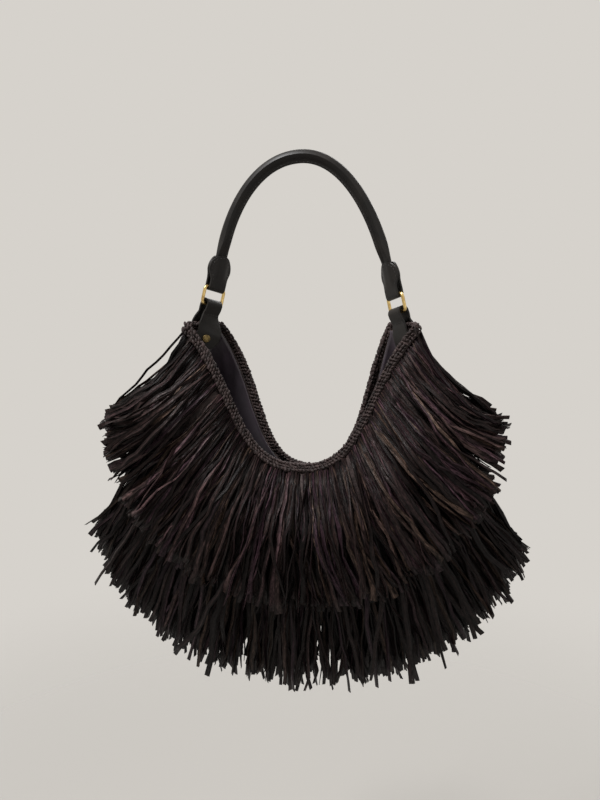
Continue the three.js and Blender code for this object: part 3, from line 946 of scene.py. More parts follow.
@dataclass
class FringeTier:
    """One tier of straw ribbons on one face, rooted on the pouch and hanging in a thick layer."""

    label: str
    face: Face
    count: int
    ends: int
    seed: int
    root: float
    span: float
    half_width: float
    half_height: float
    centre: float
    low: float
    gather: float
    drop: float
    over: float
    painted_light_of_tier: float
    curl: float
    flares: tuple[float, ...]

    # The layer that the strands make
    layer: float = 9.0
    clear: float = 2.2
    clear_by: float = 0.12
    over_from: float = 30.0
    over_to: float = 62.0
    stand_off: float = 8.0
    by_mouth: float = 0.45

    # The line of a strand
    stations: int = 11
    bunch_size: tuple[int, int] = (2, 5)
    bunch_drift: float = 0.016
    root_jitter: float = 0.003
    own_drift: float = 0.012
    stray_share: float = 0.06
    stray_gain: float = 2.4
    stray_within: float = 0.8
    outward: float = 1.3
    reach: float = 0.985
    reach_spread: float = 0.03
    longest: float = 1.03
    root_scatter: Pair = (-0.02, 0.01)
    tuck: Pair = (1.3, 0.35)
    tuck_spread: Pair = (0.8, 1.2)
    puff: float = 2.2
    wander: float = 3.5
    sag: float = 22.0
    sag_spread: Pair = (0.5, 1.5)
    bend: float = 3.8
    bend_pace: float = 4
    bend_depth: float = 0.6
    kink: float = 1.5
    kink_pace: float = 11

    # Strands over the ends of the pouch
    end_roots: Pair = (0, 6)
    end_clear: float = 1.0
    end_width: Pair = (0.9, 1.0)
    end_depth: Pair = (0, 14)
    end_drop: Pair = (-4, 26)
    end_sag: Pair = (12, 28)
    loose_share: float = 0.1
    loose_sag: Pair = (-2, 8)
    end_bend: float = 2.2
    end_pace: float = 5

    # The ribbon
    width: float = 4.6
    widths: Pair = (0.75, 1.1)
    thickness: float = 1.9
    profile: tuple[Pair, ...] = ((-1, 0.05), (-0.4, 0.5), (0.25, 0.12), (1, 0.0), (0.4, -0.42), (-0.3, -0.12))
    roll: float = 0.75
    ripple: float = 0.5
    ripple_pace: float = 4
    pinch: float = 0.28
    pinch_pace: float = 7
    neck: float = 0.7
    flat_tip: float = 0.45
    # Painted light and shade: strands deep in the layer are dyed near black, as shade under the strands over
    # them, and the outermost lighter, as painted highlight; the spread varies the tone at random from strand
    # to strand.
    painted_light_and_tone: Pair = (0.05, 3.2)
    strand_tone_spread: Pair = (0.6, 1.5)

    def tip_point(self, s: float) -> Vector:
        """Tip of the strand rooted at s, before its own variation, in metres.

        Args:
            s: place along the mouth.

        Returns:
            The tip.
        """
        v = min(off_middle(s) / self.span, 1.0)
        angle = lerp(self.low, QUARTER, (1 - v) ** self.gather)
        x = sign_of(s) * self.half_width * math.cos(angle)
        return Vector((x, 0, self.centre - self.half_height * math.sin(angle))) * MM

    def layer_point(self, form: PouchForm, s: float, share: float, lift: float, fall: float) -> Vector:
        """Point in the tier's layer.

        Args:
            form: the pouch.
            s: place along the mouth.
            share: from 0 at the root to 1 at the tip.
            lift: metres out from the layer's inner side.
            fall: metres by which the tip hangs in under the bag.

        Returns:
            The point in metres.
        """
        start = self.root * MM
        root, tip = form.panel_point(self.face, s, start), self.tip_point(s)
        deepest = 0.5 ** (1 / form.belly_high) * form.length(self.face, s)
        along = start + share * math.hypot(tip.x - root.x, tip.z - root.z)
        held = form.panel_point(self.face, s, max(min(along, deepest), start)).y
        over = self.over * MM * ease(along / MM, self.over_from, self.over_to)
        clear = self.clear * MM * ease(share, 0, self.clear_by)
        depth = held + self.face.value * (clear + over - fall * share + lift)
        return Vector((lerp(root.x, tip.x, share), depth, lerp(root.z, tip.z, share)))

    def strand_s(self, rng: random.Random, number: int) -> float:
        """Root place of a bunch: some lie evenly along the mouth, some evenly along the tips.

        Args:
            rng: source of the choice.
            number: of the bunch's first strand.

        Returns:
            The place along the mouth.
        """
        place = 2 * (number * GOLDEN_SHARE % 1) - 1
        v = abs(place)
        if rng.random() > self.by_mouth:
            v = 1 - (1 - v) ** (1 / self.gather)
        return 0.5 + math.copysign(0.5 * v * self.span, place)

    def within(self, point: Vector) -> Vector:
        """Hold a strand back where it would stand too far off the bag.

        Args:
            point: a point of the strand in metres.

        Returns:
            The same point, moved.
        """
        limit = abs(CAD_BOX[0 if self.face is Face.FRONT else 1].y) + self.stand_off * MM
        point.y = clamp(point.y, -limit, limit)
        return point

    def strand_path(self, form: PouchForm, rng: random.Random, bunch: Bunch) -> tuple[list[Vector], float]:
        """Centre line of one strand, from root to tip.

        Args:
            form: the pouch.
            rng: source of the strand's own variation.
            bunch: the strands that share its stitch.

        Returns:
            One point a station, and how far out in the layer the strand lies, from 0 to about 1.
        """
        s = bunch.s + rng.gauss(0, self.root_jitter)
        stray = rng.random() < self.stray_share and off_middle(s) < self.stray_within
        wild = self.stray_gain if stray else 1.0
        drift = bunch.drift + rng.gauss(0, self.own_drift) * wild
        outside = 0.5 * bunch.lift + 0.5 * rng.random() ** self.outward
        lift = outside * self.layer * MM * wild
        reach = min(rng.gauss(self.reach, self.reach_spread), self.longest)
        start = rng.uniform(*self.root_scatter)
        fall = self.drop * MM * lerp(*self.tuck, min(outside, 1)) * rng.uniform(*self.tuck_spread)
        phase = rng.uniform(0, 100)
        puff = abs(rng.gauss(0, self.puff)) * MM * wild
        wander = rng.gauss(0, self.wander) * MM * wild
        sag = self.sag * MM * off_middle(s) ** 3 * rng.uniform(*self.sag_spread)
        aside = Vector((-math.sin(phase), 0, math.cos(phase))) * wander
        path = []
        for k in range(self.stations):
            t = k / (self.stations - 1)
            here = clamp(s + drift * t, 0.5 - 0.5 * self.span, 0.5 + 0.5 * self.span)
            out = lift * ease(t, 0, 0.5) + puff * math.sin(math.pi * t)
            point = self.layer_point(form, here, lerp(start, reach, t), out, fall)
            point.z -= sag * math.sin(math.pi * t)
            bend = wave(phase, t * self.bend_pace, self.bend_depth) * self.bend
            kink = noise.noise_vector((phase, t * self.kink_pace, 2)) * self.kink
            path.append(self.within(point + (bend + kink) * (MM * min(1, 5 * t)) + aside * t * t))
        return path, outside

    def end_path(self, form: PouchForm, rng: random.Random) -> tuple[list[Vector], float]:
        """Centre line of a strand that covers an end of the pouch.

        Args:
            form: the pouch.
            rng: source of the strand's own variation.

        Returns:
            As for strand_path.
        """
        side = Side.LEFT if rng.random() < 0.5 else Side.RIGHT
        begin = self.root * MM + rng.uniform(*self.end_roots) * MM
        corner = form.panel_point(self.face, side.s, begin)
        middle = form.end_point(side, begin / form.length(Face.FRONT, side.s))
        root = corner.lerp(middle, rng.random())
        root.x += side.value * self.end_clear * MM
        low = self.tip_point(side.s)
        tip = Vector((low.x * rng.uniform(*self.end_width),
                      root.y + self.face.value * rng.uniform(*self.end_depth) * MM,
                      low.z - rng.uniform(*self.end_drop) * MM))
        phase = rng.uniform(0, 100)
        loose = rng.random() < self.loose_share
        sag = rng.uniform(*(self.loose_sag if loose else self.end_sag)) * MM
        path = []
        for k in range(self.stations):
            t = k / (self.stations - 1)
            point = root.lerp(tip, t)
            point.z -= sag * math.sin(math.pi * t) * (1 - t)
            bend = wave(phase, t * self.end_pace) * (self.end_bend * MM * min(1, 3 * t))
            path.append(self.within(point + bend))
        return path, rng.random()

    def template(self) -> Mesh:
        """Make a straight ribbon to copy.

        Returns:
            The ribbon, with its profile in X and Y, a station at each whole Z and sharp long creases.
        """
        sides = len(self.profile)
        bm = bmesh.new()
        ring = [bm.verts.new((x, y, 0)) for x, y in self.profile]
        bm.faces.new(list(reversed(ring)))
        edges = [bm.edges.get((ring[k], ring[(k + 1) % sides])) for k in range(sides)]
        for _ in range(1, self.stations):
            grown = bmesh.ops.extrude_edge_only(bm, edges=edges)["geom"]
            verts = [g for g in grown if isinstance(g, BMVert)]
            edges = [g for g in grown if isinstance(g, BMEdge) and all(v in verts for v in g.verts)]
            bmesh.ops.translate(bm, verts=verts, vec=(0, 0, 1))
        bmesh.ops.contextual_create(bm, geom=edges)
        bmesh.ops.recalc_face_normals(bm, faces=bm.faces)
        for edge in bm.edges:
            edge.smooth = abs(edge.verts[0].co.z - edge.verts[1].co.z) < 0.5
        return to_mesh(bm, "ribbon_template")

    def ribbon(self, path: Sequence[Vector], rng: random.Random) -> tuple[float, list[tuple]]:
        """Lay a ribbon along a strand's line.

        Args:
            path: the line.
            rng: source of its roll, twist and width.

        Returns:
            Half its width, and for each station its middle, its half width and fold as vectors and its run.
        """
        roll = rng.gauss(0, self.roll)
        twist = rng.gauss(0, self.curl)
        half = self.width * rng.uniform(*self.widths) / 2 * MM
        flare = rng.choice(self.flares)
        phase = rng.uniform(0, 100)
        last = self.stations - 1
        marks = measure(path)
        places = []
        for k, point in enumerate(path):
            t = k / last
            ahead = (path[min(k + 1, last)] - path[max(k - 1, 0)]).normalized()
            wide = ahead.cross(Vector((0, self.face.value, 0))).normalized()
            thick = wide.cross(ahead)
            angle = roll + twist * t + self.ripple * noise.noise((phase, t * self.ripple_pace, 3))
            across = wide * math.cos(angle) + thick * math.sin(angle)
            depth = thick * math.cos(angle) - wide * math.sin(angle)
            pinch = 1 + self.pinch * noise.noise((phase, t * self.pinch_pace, 1))
            grow = lerp(self.neck, 1.0, ease(t, 0, 0.6)) * lerp(1.0, flare, ease(t, 0.8, 1.0)) * pinch
            flat = lerp(1.0, self.flat_tip, ease(t, 0.85, 1.0))
            fold = self.thickness * MM * flat * (1.5 - 0.5 * pinch)
            places.append((point, across * half * grow, depth * fold, marks[k]))
        return half, places

    def build(self, form: PouchForm, straw: Material) -> Object:
        """Make all strands of the tier as one piece.

        Args:
            form: the pouch that they hang on.
            straw: their finish.

        Returns:
            The fringe.
        """
        rng = random.Random(self.seed)
        template = self.template()
        corners = [tuple(v.co) for v in template.vertices]
        size = len(corners)
        total = self.count + self.ends
        bm = bmesh.new()
        ribbons = bm.verts.layers.float_vector.new("ribbon")
        shades = bm.verts.layers.float.new("shade")
        for _ in range(total):
            bm.from_mesh(template)
        verts = list(bm.verts)
        bunch = Bunch()
        for n in range(total):
            if not bunch.left:
                bunch = Bunch(self.strand_s(rng, n), rng.gauss(0, self.bunch_drift), rng.random(),
                              rng.randint(*self.bunch_size))
            bunch.left -= 1
            path, outside = self.strand_path(form, rng, bunch) if n < self.count else self.end_path(form, rng)
            tone = rng.random()
            # Painted shade and highlight by the strand's depth in the layer, scaled per tier, with a random
            # tone per strand.
            shade = self.painted_light_of_tier * lerp(*self.painted_light_and_tone, outside) * rng.uniform(*self.strand_tone_spread)
            half, places = self.ribbon(path, rng)
            for vert, (x, y, z) in zip(verts[n * size:(n + 1) * size], corners):
                point, across, depth, run = places[round(z)]
                vert.co = point + across * x + depth * y
                vert[ribbons] = (run, x * half, tone)
                vert[shades] = shade
        return Piece(f"{self.label}_strands", "straw", (f"{self.label}_fringe",)).make(bm, straw)


def make_fringe(form: PouchForm, straw: Material) -> list[Object]:
    """Build the four tiers, lower ones first.

    Args:
        form: the pouch.
        straw: the strands' finish.

    Returns:
        The four fringes.
    """
    # The lower tiers are dyed darker as painted shade under the upper tiers, the upper tiers lighter as
    # painted highlight.
    lower = dict(root=72, span=0.72, half_width=214, half_height=197, centre=-295, low=math.radians(15),
                 gather=1.25, drop=27, over=0, painted_light_of_tier=0.5, curl=0.7, flares=(0.75, 0.85, 0.95, 1.05))
    upper = dict(root=7.0, span=0.98, half_width=178, half_height=178, centre=-222, low=0.0,
                 gather=1.35, drop=9, over=13, painted_light_of_tier=1.2, curl=1.1, flares=(1.0, 1.1, 1.3, 1.7))
    tiers = [
        FringeTier("front_lower", Face.FRONT, count=860, ends=40, seed=3, **lower),
        FringeTier("back_lower", Face.BACK, count=800, ends=40, seed=5, **lower),
        FringeTier("front_upper", Face.FRONT, count=620, ends=44, seed=7, **upper),
        FringeTier("back_upper", Face.BACK, count=580, ends=44, seed=9, **upper),
    ]
    return [tier.build(form, straw) for tier in tiers]


# Rings, tabs, rivets and handle, with their sizes in millimetres


@dataclass
class BagEnd:
    """Frame of one end: the ring's bars, the pull of the handle and the pull of the pouch."""

    side: Side
    lean: float
    form: PouchForm
    bar_gap: float = 16.0
    tuck: float = 14.0
    aim: float = 23.0
    wall_middle: float = 2.05

    def __post_init__(self) -> None:
        """Read the ring's hinge from the frame and work out the axes."""
        joint = next(j for j in frame["joints"] if j["name"] == f"{self.label}_ring_swing")
        self.top_bar = Vector(joint["pos_m"])
        self.bar = Vector(joint["axis"]).normalized()
        lift = Vector((-self.side.value * math.sin(self.lean), 0, math.cos(self.lean)))
        self.inward = lift.cross(self.bar).normalized()
        self.pull = self.bar.cross(self.inward)
        self.low_bar = self.top_bar - self.pull * self.bar_gap * MM
        self.handle_end = self.top_bar + self.pull * self.tuck * MM
        s = self.side.s
        across = self.form.rim_point(Face.BACK, s) - self.form.rim_point(Face.FRONT, s)
        inside = Vector((across.y, -across.x, 0)).normalized() * -self.side.value
        wall = self.form.end_middle(self.side, [self.aim * MM] * 2)
        target = wall + inside * self.wall_middle * MM
        self.tab_inward = (self.low_bar - target).cross(self.bar).normalized()
        self.tab_pull = self.bar.cross(self.tab_inward)

    @property
    def label(self) -> str:
        """Word for the end in piece names."""
        return self.side.name.lower()

    def paddle_frame(self) -> Matrix:
        """Frame at the ring's top bar."""
        return basis(self.bar, self.inward, self.pull, self.top_bar)

    def anchor_frame(self) -> Matrix:
        """Frame at the ring's bottom bar, turned to the pouch's pull."""
        return basis(self.bar, self.tab_inward, self.tab_pull, self.low_bar)


@dataclass
class WireRing:
    """Rectangular ring of bent brass wire."""

    end: BagEnd
    width: float = 27.0
    height: float = 19.0
    wire: float = 1.5
    corner: float = 3.6
    sides: int = 20
    corner_steps: int = 10

    def build(self, brass: Material) -> Object:
        """Make the ring.

        Args:
            brass: its finish.

        Returns:
            The ring, riding on its own body.
        """
        cx = self.width / 2 - self.wire - self.corner
        cz = self.height / 2 - self.wire - self.corner
        stops = []
        for quarter, (x, z) in enumerate(((cx, cz), (-cx, cz), (-cx, -cz), (cx, -cz))):
            for k in range(self.corner_steps + 1):
                angle = (quarter + k / self.corner_steps) * QUARTER
                stops.append((x, z, math.cos(angle), math.sin(angle)))
        end = self.end
        matrix = basis(end.bar, end.inward, end.pull, end.top_bar - end.pull * end.bar_gap / 2 * MM)

        def place(u: float, v: float) -> Vector:
            """Point of the wire: u round it, v along it.

            Args:
                u: share of its round section.
                v: share of its loop.

            Returns:
                The point in metres.
            """
            x, z, ox, oz = stops[round(v * len(stops)) % len(stops)]
            reach = self.corner + self.wire * math.cos(TURN * u)
            return matrix @ (Vector((x + ox * reach, self.wire * math.sin(TURN * u), z + oz * reach)) * MM)

        body = f"{end.label}_ring"
        piece = Piece(f"{end.label}_wire_ring", "brass", (body,), body)
        return piece.make(shaped_grid(self.sides, len(stops), place), brass)


@dataclass
class FoldedTab:
    """Leather strip folded round a bar: two legs that widen from a neck and are cut round at the end."""

    end: BagEnd
    kind: str = ""
    node: str = ""
    way: int = 1
    bore: float = 0.0
    neck: float = 0.0
    half: float = 0.0
    length: float = 0.0
    shoulder: float = 6.0
    wide: float = 0.0
    pitch: float = 3.4
    leg_steps: int = 26
    bend_steps: int = 12
    leather: float = 1.6
    across: int = 20
    edge_round: float = 0.45
    edge_segments: int = 3
    edge_angle: float = math.radians(50)
    least: float = 0.02

    @property
    def centre(self) -> float:
        """Distance of the round end's centre from the bar."""
        return self.length - self.half

    def frame(self) -> Matrix:
        """Frame at the bar that the strip is folded round; its legs go up or down from there."""
        return self.end.paddle_frame() if self.way > 0 else self.end.anchor_frame()

    def offset(self, z: float) -> float:
        """Distance of a leg's middle from the fold's middle plane at a height."""
        raise NotImplementedError

    def settle(self, x: float, y: float, z: float) -> Vector:
        """Move a point of the plain fold to where the leather lies."""
        raise NotImplementedError

    def half_at(self, z: float) -> float:
        """Half width of the strip.

        Args:
            z: height, negative below the bar.

        Returns:
            Millimetres from the middle to a side.
        """
        along = z * self.way
        if along <= self.centre:
            return lerp(self.neck, self.half, ease(along, self.shoulder, self.wide))
        return max(math.sqrt(max(self.half ** 2 - (along - self.centre) ** 2, 0.0)), self.least)

    def build(self, material: Material) -> Object:
        """Make the strip, with its faces close together at the ends of its legs.

        Args:
            material: its finish.

        Returns:
            The tab.
        """
        tip = self.way * self.length
        shares = [1 - math.cos(QUARTER * k / self.leg_steps) for k in range(self.leg_steps + 1)]
        heights = [tip - tip * share for share in shares]
        angles = [math.pi * k / self.bend_steps for k in range(1, self.bend_steps)]
        radius = self.bore + self.leather / 2
        path = [*((self.offset(z), z) for z in heights),
                *((radius * math.cos(a), -self.way * radius * math.sin(a)) for a in angles),
                *((-self.offset(z), z) for z in reversed(heights))]
        last = len(path) - 1
        matrix = self.frame()

        def place(u: float, v: float) -> Vector:
            """Point of the strip: u across it, v along it."""
            y, z = path[round(v * last)]
            return matrix @ (self.settle((2 * u - 1) * self.half_at(z), y, z) * MM)

        label = self.end.label
        piece = Piece(f"{label}_{self.kind}", "leather", (f"{label}_{self.node}",))
        obj = piece.make(shaped_grid(self.across, last, place), material)
        thicken(obj, self.leather, 0)
        edge = obj.modifiers.new("edge", "BEVEL")
        edge.width = self.edge_round * MM
        edge.segments = self.edge_segments
        edge.limit_method = "ANGLE"
        edge.angle_limit = self.edge_angle
        return obj

    def seam(self, line: Sequence[Pair]) -> list[Matrix]:
        """Set stitches along a line on both faces.

        Args:
            line: sideways and upward millimetres of the seam.

        Returns:
            One matrix a stitch, with X along the seam.
        """
        points = [Vector((x, 0, z)) for x, z in line]
        marks = measure(points)
        places = []
        for n in range(int(marks[-1] / self.pitch)):
            low, t = find_step(marks, (n + 0.5) * self.pitch)
            here = points[low].lerp(points[low + 1], t)
            run = (points[low + 1] - points[low]).normalized()
            depth = self.settle(here.x, self.offset(here.z), here.z).y + self.leather / 2
            for face in (1, -1):
                out = Vector((0, face, 0))
                places.append(self.frame() @ basis(run, out.cross(run), out, (here + out * depth) * MM))
        return places


@dataclass
class Paddle(FoldedTab):
    """Upper tab: paddle-shaped strip folded under the ring's top bar and sewn over the handle's flat end."""

    kind: str = "paddle"
    node: str = "handle_tab"
    bore: float = 1.85
    mouth: float = 2.3
    neck: float = 9.5
    half: float = 13.0
    length: float = 30.0
    wide: float = 17.0
    shut_across: Pair = (3.0, 12.5)
    shut_above: Pair = (4, 14)
    shut_gap: float = 0.06
    seam_inset: float = 2.0
    seam_start: float = 5
    side_steps: int = 8
    end_steps: int = 12

    def offset(self, z: float) -> float:
        """Distance of a leg's middle from the fold's middle plane."""
        return lerp(self.bore, self.mouth, ease(z, 0, self.length / 2)) + self.leather / 2

    def settle(self, x: float, y: float, z: float) -> Vector:
        """Press the two legs together outside the handle's flat end."""
        shut = ease(abs(x), *self.shut_across) * ease(z, *self.shut_above)
        return Vector((x, lerp(y, math.copysign(self.leather / 2 + self.shut_gap, y), shut), z))

    def stitches(self) -> list[Matrix]:
        """Sew the paddle up one side, over its round end and down the other.

        Returns:
            Places of the stitches on both faces.
        """
        shares = [k / self.side_steps for k in range(self.side_steps + 1)]
        heights = [lerp(self.seam_start, self.centre, share) for share in shares]
        reach = self.half - self.seam_inset
        angles = [QUARTER * k / self.end_steps for k in range(1, self.end_steps + 1)]
        line = [*((self.half_at(z) - self.seam_inset, z) for z in heights),
                *((reach * math.cos(a), self.centre + reach * math.sin(a)) for a in angles)]
        return self.seam([*line, *((-x, z) for x, z in reversed(line[:-1]))])


@dataclass
class Anchor(FoldedTab):
    """Lower tab: strip folded over the ring's bottom bar, its legs straddling the pouch's end."""

    free: float = 0.0
    turn: float = 0.0
    kind: str = "anchor"
    node: str = "anchor_tab"
    way: int = -1
    bore: float = 3.7
    neck: float = 9.0
    half: float = 11.6
    length: float = 40.0
    wide: float = 20.0
    pitch: float = 3.2
    leg_steps: int = 34
    bend_steps: int = 14
    free_from: float = 10
    free_to: float = 26
    seam_height: float = -8.5
    seam_inset: float = 1.6
    drawn: float = 1.1
    drawn_reach: float = 3.2

    def offset(self, z: float) -> float:
        """Distance of a leg's middle from the fold's plane; the seam under the ring draws the legs in."""
        drawn = self.drawn * math.exp(-((z - self.seam_height) / self.drawn_reach) ** 2)
        return self.bore + self.leather / 2 - drawn

    def slack(self, z: float) -> Pair:
        """How far the inner leg hangs free of the pouch at a height, and its turn there."""
        share = ease(-z, self.free_from, self.free_to)
        return self.free * share, self.turn * share

    def settle(self, x: float, y: float, z: float) -> Vector:
        """Let the inner leg hang a little free and turned."""
        free, turn = self.slack(z) if y > 0 else (0.0, 0.0)
        return Vector((x * math.cos(turn), y + free - x * math.sin(turn), z))

    def stitches(self) -> list[Matrix]:
        """Sew both legs together in one row under the ring."""
        reach = self.half_at(self.seam_height) - self.seam_inset
        return self.seam([(-reach, self.seam_height), (reach, self.seam_height)])


@dataclass
class Rivet:
    """Two-part cap rivet through the anchor tab, a domed cap on each side."""

    anchor: Anchor
    drop: float = 30.0
    post: float = 1.4
    cap: float = 3.8
    rim_in: float = 0.35
    rim_rise: float = 0.2
    edge: float = 0.5
    dome: float = 1.25
    dome_steps: int = 8
    seat: float = 5.45
    foot: float = 6.0
    turns: int = 36

    def build(self, brass: Material) -> None:
        """Make the rivet and its outer cap.

        Args:
            brass: the finish of both.
        """
        end = self.anchor.end
        angles = [QUARTER * k / self.dome_steps for k in range(self.dome_steps)]
        inner = self.cap - self.rim_in
        dome = [(self.cap, self.rim_rise),
                *((self.cap * math.cos(a), lerp(self.edge, self.dome, math.sin(a))) for a in angles),
                (0.0, self.dome)]
        head = [(0.0, -self.foot), (self.post, -self.foot), (self.post, self.seat), (inner, self.seat),
                *((r, self.seat + h) for r, h in dome)]
        back = [(0.0, -self.seat), (inner, -self.seat), *((r, -self.seat - h) for r, h in dome)]
        free, turn = self.anchor.slack(-self.drop)
        hole = end.anchor_frame() @ Matrix.Translation((0, 0, -self.drop * MM))
        leant = hole @ Matrix.Translation((0, free * MM, 0)) @ Matrix.Rotation(-turn, 4, "Z")
        turned = (("head", "rivet", head, leant), ("back", "rivet_cap", back, hole))
        for name, node, profile, matrix in turned:
            bm = bmesh.new()
            verts = [bm.verts.new((r * MM, h * MM, 0)) for r, h in profile]
            edges = [bm.edges.new(pair) for pair in zip(verts, verts[1:])]
            bmesh.ops.spin(bm, geom=[*verts, *edges], cent=(0, 0, 0), axis=(0, 1, 0), angle=TURN,
                           steps=self.turns, use_merge=True)
            bmesh.ops.remove_doubles(bm, verts=bm.verts, dist=WELD)
            bmesh.ops.recalc_face_normals(bm, faces=bm.faces)
            bmesh.ops.transform(bm, matrix=matrix, verts=bm.verts)
            Piece(f"{end.label}_rivet_{name}", "aged_brass", (f"{end.label}_{node}",)).make(bm, brass)


@dataclass
class Handle:
    """Rolled handle: a sleeve with a sewn flange on its inner side, pressed flat into the paddles."""

    left: BagEnd
    right: BagEnd
    shoulders: tuple[Triple, Triple] = ((-74, 3, -46), (69, 3, -46))
    crowns: Pair = (-46, 40)
    samples: int = 200
    roll: float = 4.7
    roll_turns: int = 26
    roll_gap: float = 0.12
    flange: float = 2.4
    flange_half: float = 1.4
    flange_root: Pair = (1.02, 0.82)
    lip: tuple[Pair, ...] = ((1.1, 0.92), (0.35, 0.85), (0.0, 0.5))
    notch_half: float = 0.12
    notch_edge: float = 0.05
    notch: float = 0.5
    steps: int = 120
    flat_end: float = 12.0
    flat_taper: float = 22.0
    flat_share: float = 0.34
    flat_spread: float = 0.7
    ridge_slide: float = 3.0
    seam_start: float = 30.0
    seam_at: Pair = (0.5, 0.95)
    pitch: float = 4.0

    def __post_init__(self) -> None:
        """Draw and measure the handle's line, with its apex over the middle."""
        high = self.roll + self.flange
        low_left, low_right = (Vector(place) * MM for place in self.shoulders)
        high_left, apex, high_right = (Vector((x, 0, high)) * MM for x in (self.crowns[0], 0, self.crowns[1]))
        ways = ((self.left.handle_end, low_left, high_left, apex),
                (apex, high_right, low_right, self.right.handle_end))
        self.line = [cubic(way, k / self.samples) for way in ways for k in range(self.samples)]
        self.line.append(self.right.handle_end)
        self.marks = measure(self.line)
        self.length = self.marks[-1]

    def at(self, distance: float) -> tuple[Vector, Vector, Vector, Vector]:
        """Find a place on the handle.

        Args:
            distance: metres along it.

        Returns:
            The point, and the run, the way into the loop and sideways there.
        """
        low, t = find_step(self.marks, distance)
        run = (self.line[min(low + 2, len(self.line) - 1)] - self.line[max(low - 1, 0)]).normalized()
        inwards = Vector((0, 1, 0)).cross(run).normalized()
        return self.line[low].lerp(self.line[low + 1], t), run, inwards, run.cross(inwards)

    def section(self) -> list[Pair]:
        """Draw the outline of the sleeve.

        The leather is creased to a ridge along each side, and a notch parts the flange's two layers.

        Returns:
            Inwards and sideways millimetres.
        """
        start = math.asin(self.flange_half / self.roll) + self.roll_gap
        angles = [lerp(start, TURN - start, k / self.roll_turns) for k in range(self.roll_turns + 1)]
        ring = [(self.roll * math.cos(a) * abs(math.cos(a)), self.roll * math.sin(a)) for a in angles]
        tip, half = self.roll + self.flange, self.flange_half
        lower = [(self.roll * self.flange_root[0], -half * self.flange_root[1])]
        lower += [(tip - short, -half * share) for short, share in self.lip]
        lower.append((tip - self.notch_edge, -self.notch_half))
        return [*ring, *lower, (tip - self.notch, 0.0), *((x, -y) for x, y in reversed(lower))]

    def point(self, distance: float, inwards_mm: float, sideways_mm: float) -> Vector:
        """Place a point of the section, pressed flat towards the ends, where its ridge slides inwards.

        Args:
            distance: metres along the handle.
            inwards_mm: its place in the section, into the loop.
            sideways_mm: its place in the section, across the loop.

        Returns:
            The point in metres.
        """
        middle, _, inwards, sideways = self.at(distance)
        slide = self.ridge_slide * (1 - math.sin(math.pi * distance / self.length)) ** 2
        inwards_mm += slide * (sideways_mm / self.roll) ** 2
        from_end = min(distance, self.length - distance) / MM
        share = lerp(self.flat_share, 1, ease(from_end, self.flat_end, self.flat_end + self.flat_taper))
        press = (self.left if distance < self.length / 2 else self.right).inward
        arm = (inwards * inwards_mm + sideways * sideways_mm) * MM
        spread = 1 + (1 - share) * self.flat_spread
        return middle + arm * spread - press * arm.dot(press) * (spread - share)

    def build(self, leather: Material) -> Object:
        """Make the sleeve.

        Args:
            leather: its finish.

        Returns:
            The handle.
        """
        section = self.section()

        def place(u: float, v: float) -> Vector:
            """Point of the sleeve: u round its section, v along it."""
            return self.point(v * self.length, *section[round(u * len(section)) % len(section)])

        bm = shaped_grid(len(section), self.steps, place)
        bmesh.ops.holes_fill(bm, edges=[e for e in bm.edges if e.is_boundary], sides=0)
        return Piece("handle_roll", "leather", ("handle_sleeve",)).make(bm, leather)

    def stitches(self) -> list[Matrix]:
        """Sew the flange.

        Returns:
            Places of the stitches along both its sides.
        """
        places = []
        start, pitch = self.seam_start * MM, self.pitch * MM
        inwards, aside = self.roll + self.flange * self.seam_at[0], self.flange_half * self.seam_at[1]
        for n in range(int((self.length - 2 * start) / pitch)):
            distance = start + (n + 0.5) * pitch
            _, run, _, sideways = self.at(distance)
            for face in (1, -1):
                out = sideways * face
                places.append(basis(run, out.cross(run), out, self.point(distance, inwards, face * aside)))
        return places


# Stage


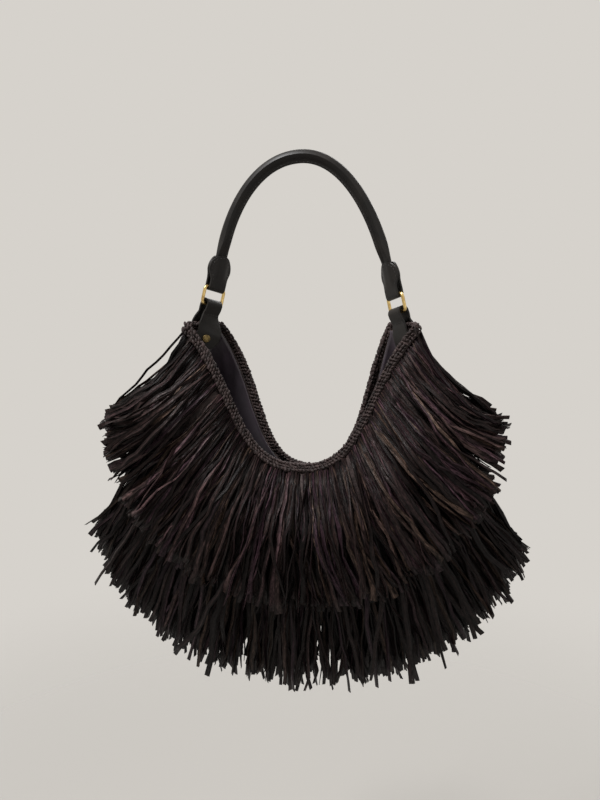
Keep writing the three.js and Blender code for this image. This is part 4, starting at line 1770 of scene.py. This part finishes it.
@dataclass
class Studio:
    """Pale floor, soft lamps, a pale room and the camera."""

    location: Triple = (76.3, -555.8, -126.6)
    azimuth: float = 8.0
    pitch: float = 8.8
    focal_pixels: float = 601.0
    picture_height: float = 800.0
    sensor: float = 36.0
    near: float = 10.0
    pale: str = "d6d2cc"
    floor_drop: float = 600.0
    floor_size: float = 6.0
    floor_roughness: float = 0.9
    fade: Pair = (0.15, 1.6)
    room_fill: float = 0.13
    aim: Triple = (0, 0, -0.25)
    lamps: tuple[tuple[str, Triple, float, float], ...] = (("key", (-0.62, -0.64, 1.32), 0.45, 39),
                                                           ("fill", (1.3, -0.9, 0.2), 1.2, 2.5),
                                                           ("back", (0.3, 1.3, 0.8), 1.2, 17))

    def camera(self) -> None:
        """Set up the camera."""
        data = bpy.data.cameras.new("camera")
        data.sensor_width = self.sensor
        data.lens = self.focal_pixels / self.picture_height * self.sensor
        data.clip_start = self.near * MM
        obj = add_object("camera", data)
        obj.location = Vector(self.location) * MM
        obj.rotation_euler = (math.radians(90 - self.pitch), 0, math.radians(self.azimuth))
        bpy.context.scene.camera = obj

    def floor(self) -> None:
        """Lay a wide pale floor under the bag, which fades out with distance."""
        bm = bmesh.new()
        bmesh.ops.create_grid(bm, x_segments=1, y_segments=1, size=self.floor_size)
        bmesh.ops.translate(bm, verts=bm.verts, vec=(0, 0, CAD_BOX[0].z - self.floor_drop * MM))
        mesh = to_mesh(bm, "floor")
        material, tree, shader = new_material("matt paint")
        set_node(tree, shader, {"Base Color": linear(self.pale), "Roughness": self.floor_roughness}, {})
        apart = add_node(tree, "VectorMath", {"operation": "MULTIPLY", 1: (1, 1, 0)}, {0: in_space(tree)})
        reach = add_node(tree, "VectorMath", {"operation": "LENGTH"}, {0: apart})
        gone = mapped(tree, reach.outputs["Value"], *self.fade, (0, 1))
        gone.interpolation_type = "SMOOTHSTEP"
        mixed = add_node(tree, "MixShader", links={0: gone, 1: shader, 2: add_node(tree, "BsdfTransparent")})
        set_node(tree, tree.get_output_node("ALL"), {}, {"Surface": mixed})
        mesh.materials.append(material)
        add_object("floor", mesh)

    def light(self) -> None:
        """Light the bag from the upper left, with a pale room all round."""
        for name, place, size, watts in self.lamps:
            data = bpy.data.lights.new(name, "AREA")
            data.size = size
            data.energy = watts
            obj = add_object(name, data)
            obj.location = place
            obj.rotation_euler = (Vector(self.aim) - Vector(place)).to_track_quat("-Z", "Y").to_euler()
        world = bpy.data.worlds.new("room")
        world.use_nodes = True
        tree = world.node_tree
        tree.nodes.clear()
        path = add_node(tree, "LightPath").outputs
        seen = path["Is Camera Ray"]
        for ray in ("Is Glossy Ray", "Is Transmission Ray"):
            seen = add_node(tree, "Math", {"operation": "MAXIMUM"}, {0: seen, 1: path[ray]})
        fill, room = (add_node(tree, "Background", {"Color": linear(self.pale), "Strength": strength})
                      for strength in (self.room_fill, 1.0))
        mixed = add_node(tree, "MixShader", links={0: seen, 1: fill, 2: room})
        add_node(tree, "OutputWorld", links={0: mixed})
        bpy.context.scene.world = world
        bpy.context.scene.view_settings.view_transform = "Standard"


def sheet_area(obj: Object) -> float:
    """Area of a sheet's middle surface in square metres."""
    return sum(p.area for p in obj.data.polygons)


def main() -> None:
    """Build the bag and its stage."""
    logging.basicConfig(level=logging.INFO)
    noise.seed_set(KINK_SEED)
    studio = Studio()
    studio.camera()
    studio.floor()
    studio.light()

    crochet = CrochetStraw().material()
    leather = SmoothLeather().material()
    brass = BrassWire().material()
    # Duller and browner than the rings, as it has not been rubbed
    old_brass = BrassWire("antique brass", ((0.3, "43392a"), (0.6, "86744c")), patch=1.6, gloss=(0.54, 0.34))
    # Black, a touch glossier than the leather
    thread = TwistedThread("waxed thread", ((0.0, "120f0e"), (1.0, "23201e")), twist=0.5, roughness=0.5)
    # Undyed, pale and matt
    cotton = TwistedThread("cotton cord", ((0.0, "6d624f"), (1.0, "9a8d78")), twist=1.5, roughness=0.9)

    rivet_brass = old_brass.material()

    form = PouchForm()
    pouch, lining = Pouch(form).build(crochet, SatinLining().material())
    edging = MouthEdging(form).build(crochet)
    fringes = make_fringe(form, StrawRibbon().material())

    left = BagEnd(Side.LEFT, lean=math.radians(9), form=form)
    right = BagEnd(Side.RIGHT, lean=math.radians(10), form=form)
    handle = Handle(left, right)
    handle.build(leather)
    seams = handle.stitches()
    for end, free, turn in ((left, 6.0, math.radians(22)), (right, 2.0, 0.0)):
        WireRing(end).build(brass)
        paddle = Paddle(end)
        anchor = Anchor(end, free=free, turn=turn)
        for tab in (paddle, anchor):
            tab.build(leather)
        Rivet(anchor).build(rivet_brass)
        seams += paddle.stitches() + anchor.stitches()
    sewing = stitches_at(seams, segments=6, rings=4, length=2.7, width=0.6)
    Piece("seam_stitches", "leather").make(sewing, thread.material())
    core = frame["nodes"]["handle_core"].data.materials
    core.clear()
    core.append(cotton.material())

    LOG.info("pouch %.4f m2, lining %.4f m2", sheet_area(pouch), sheet_area(lining))


if __name__ == "__main__":
    main()
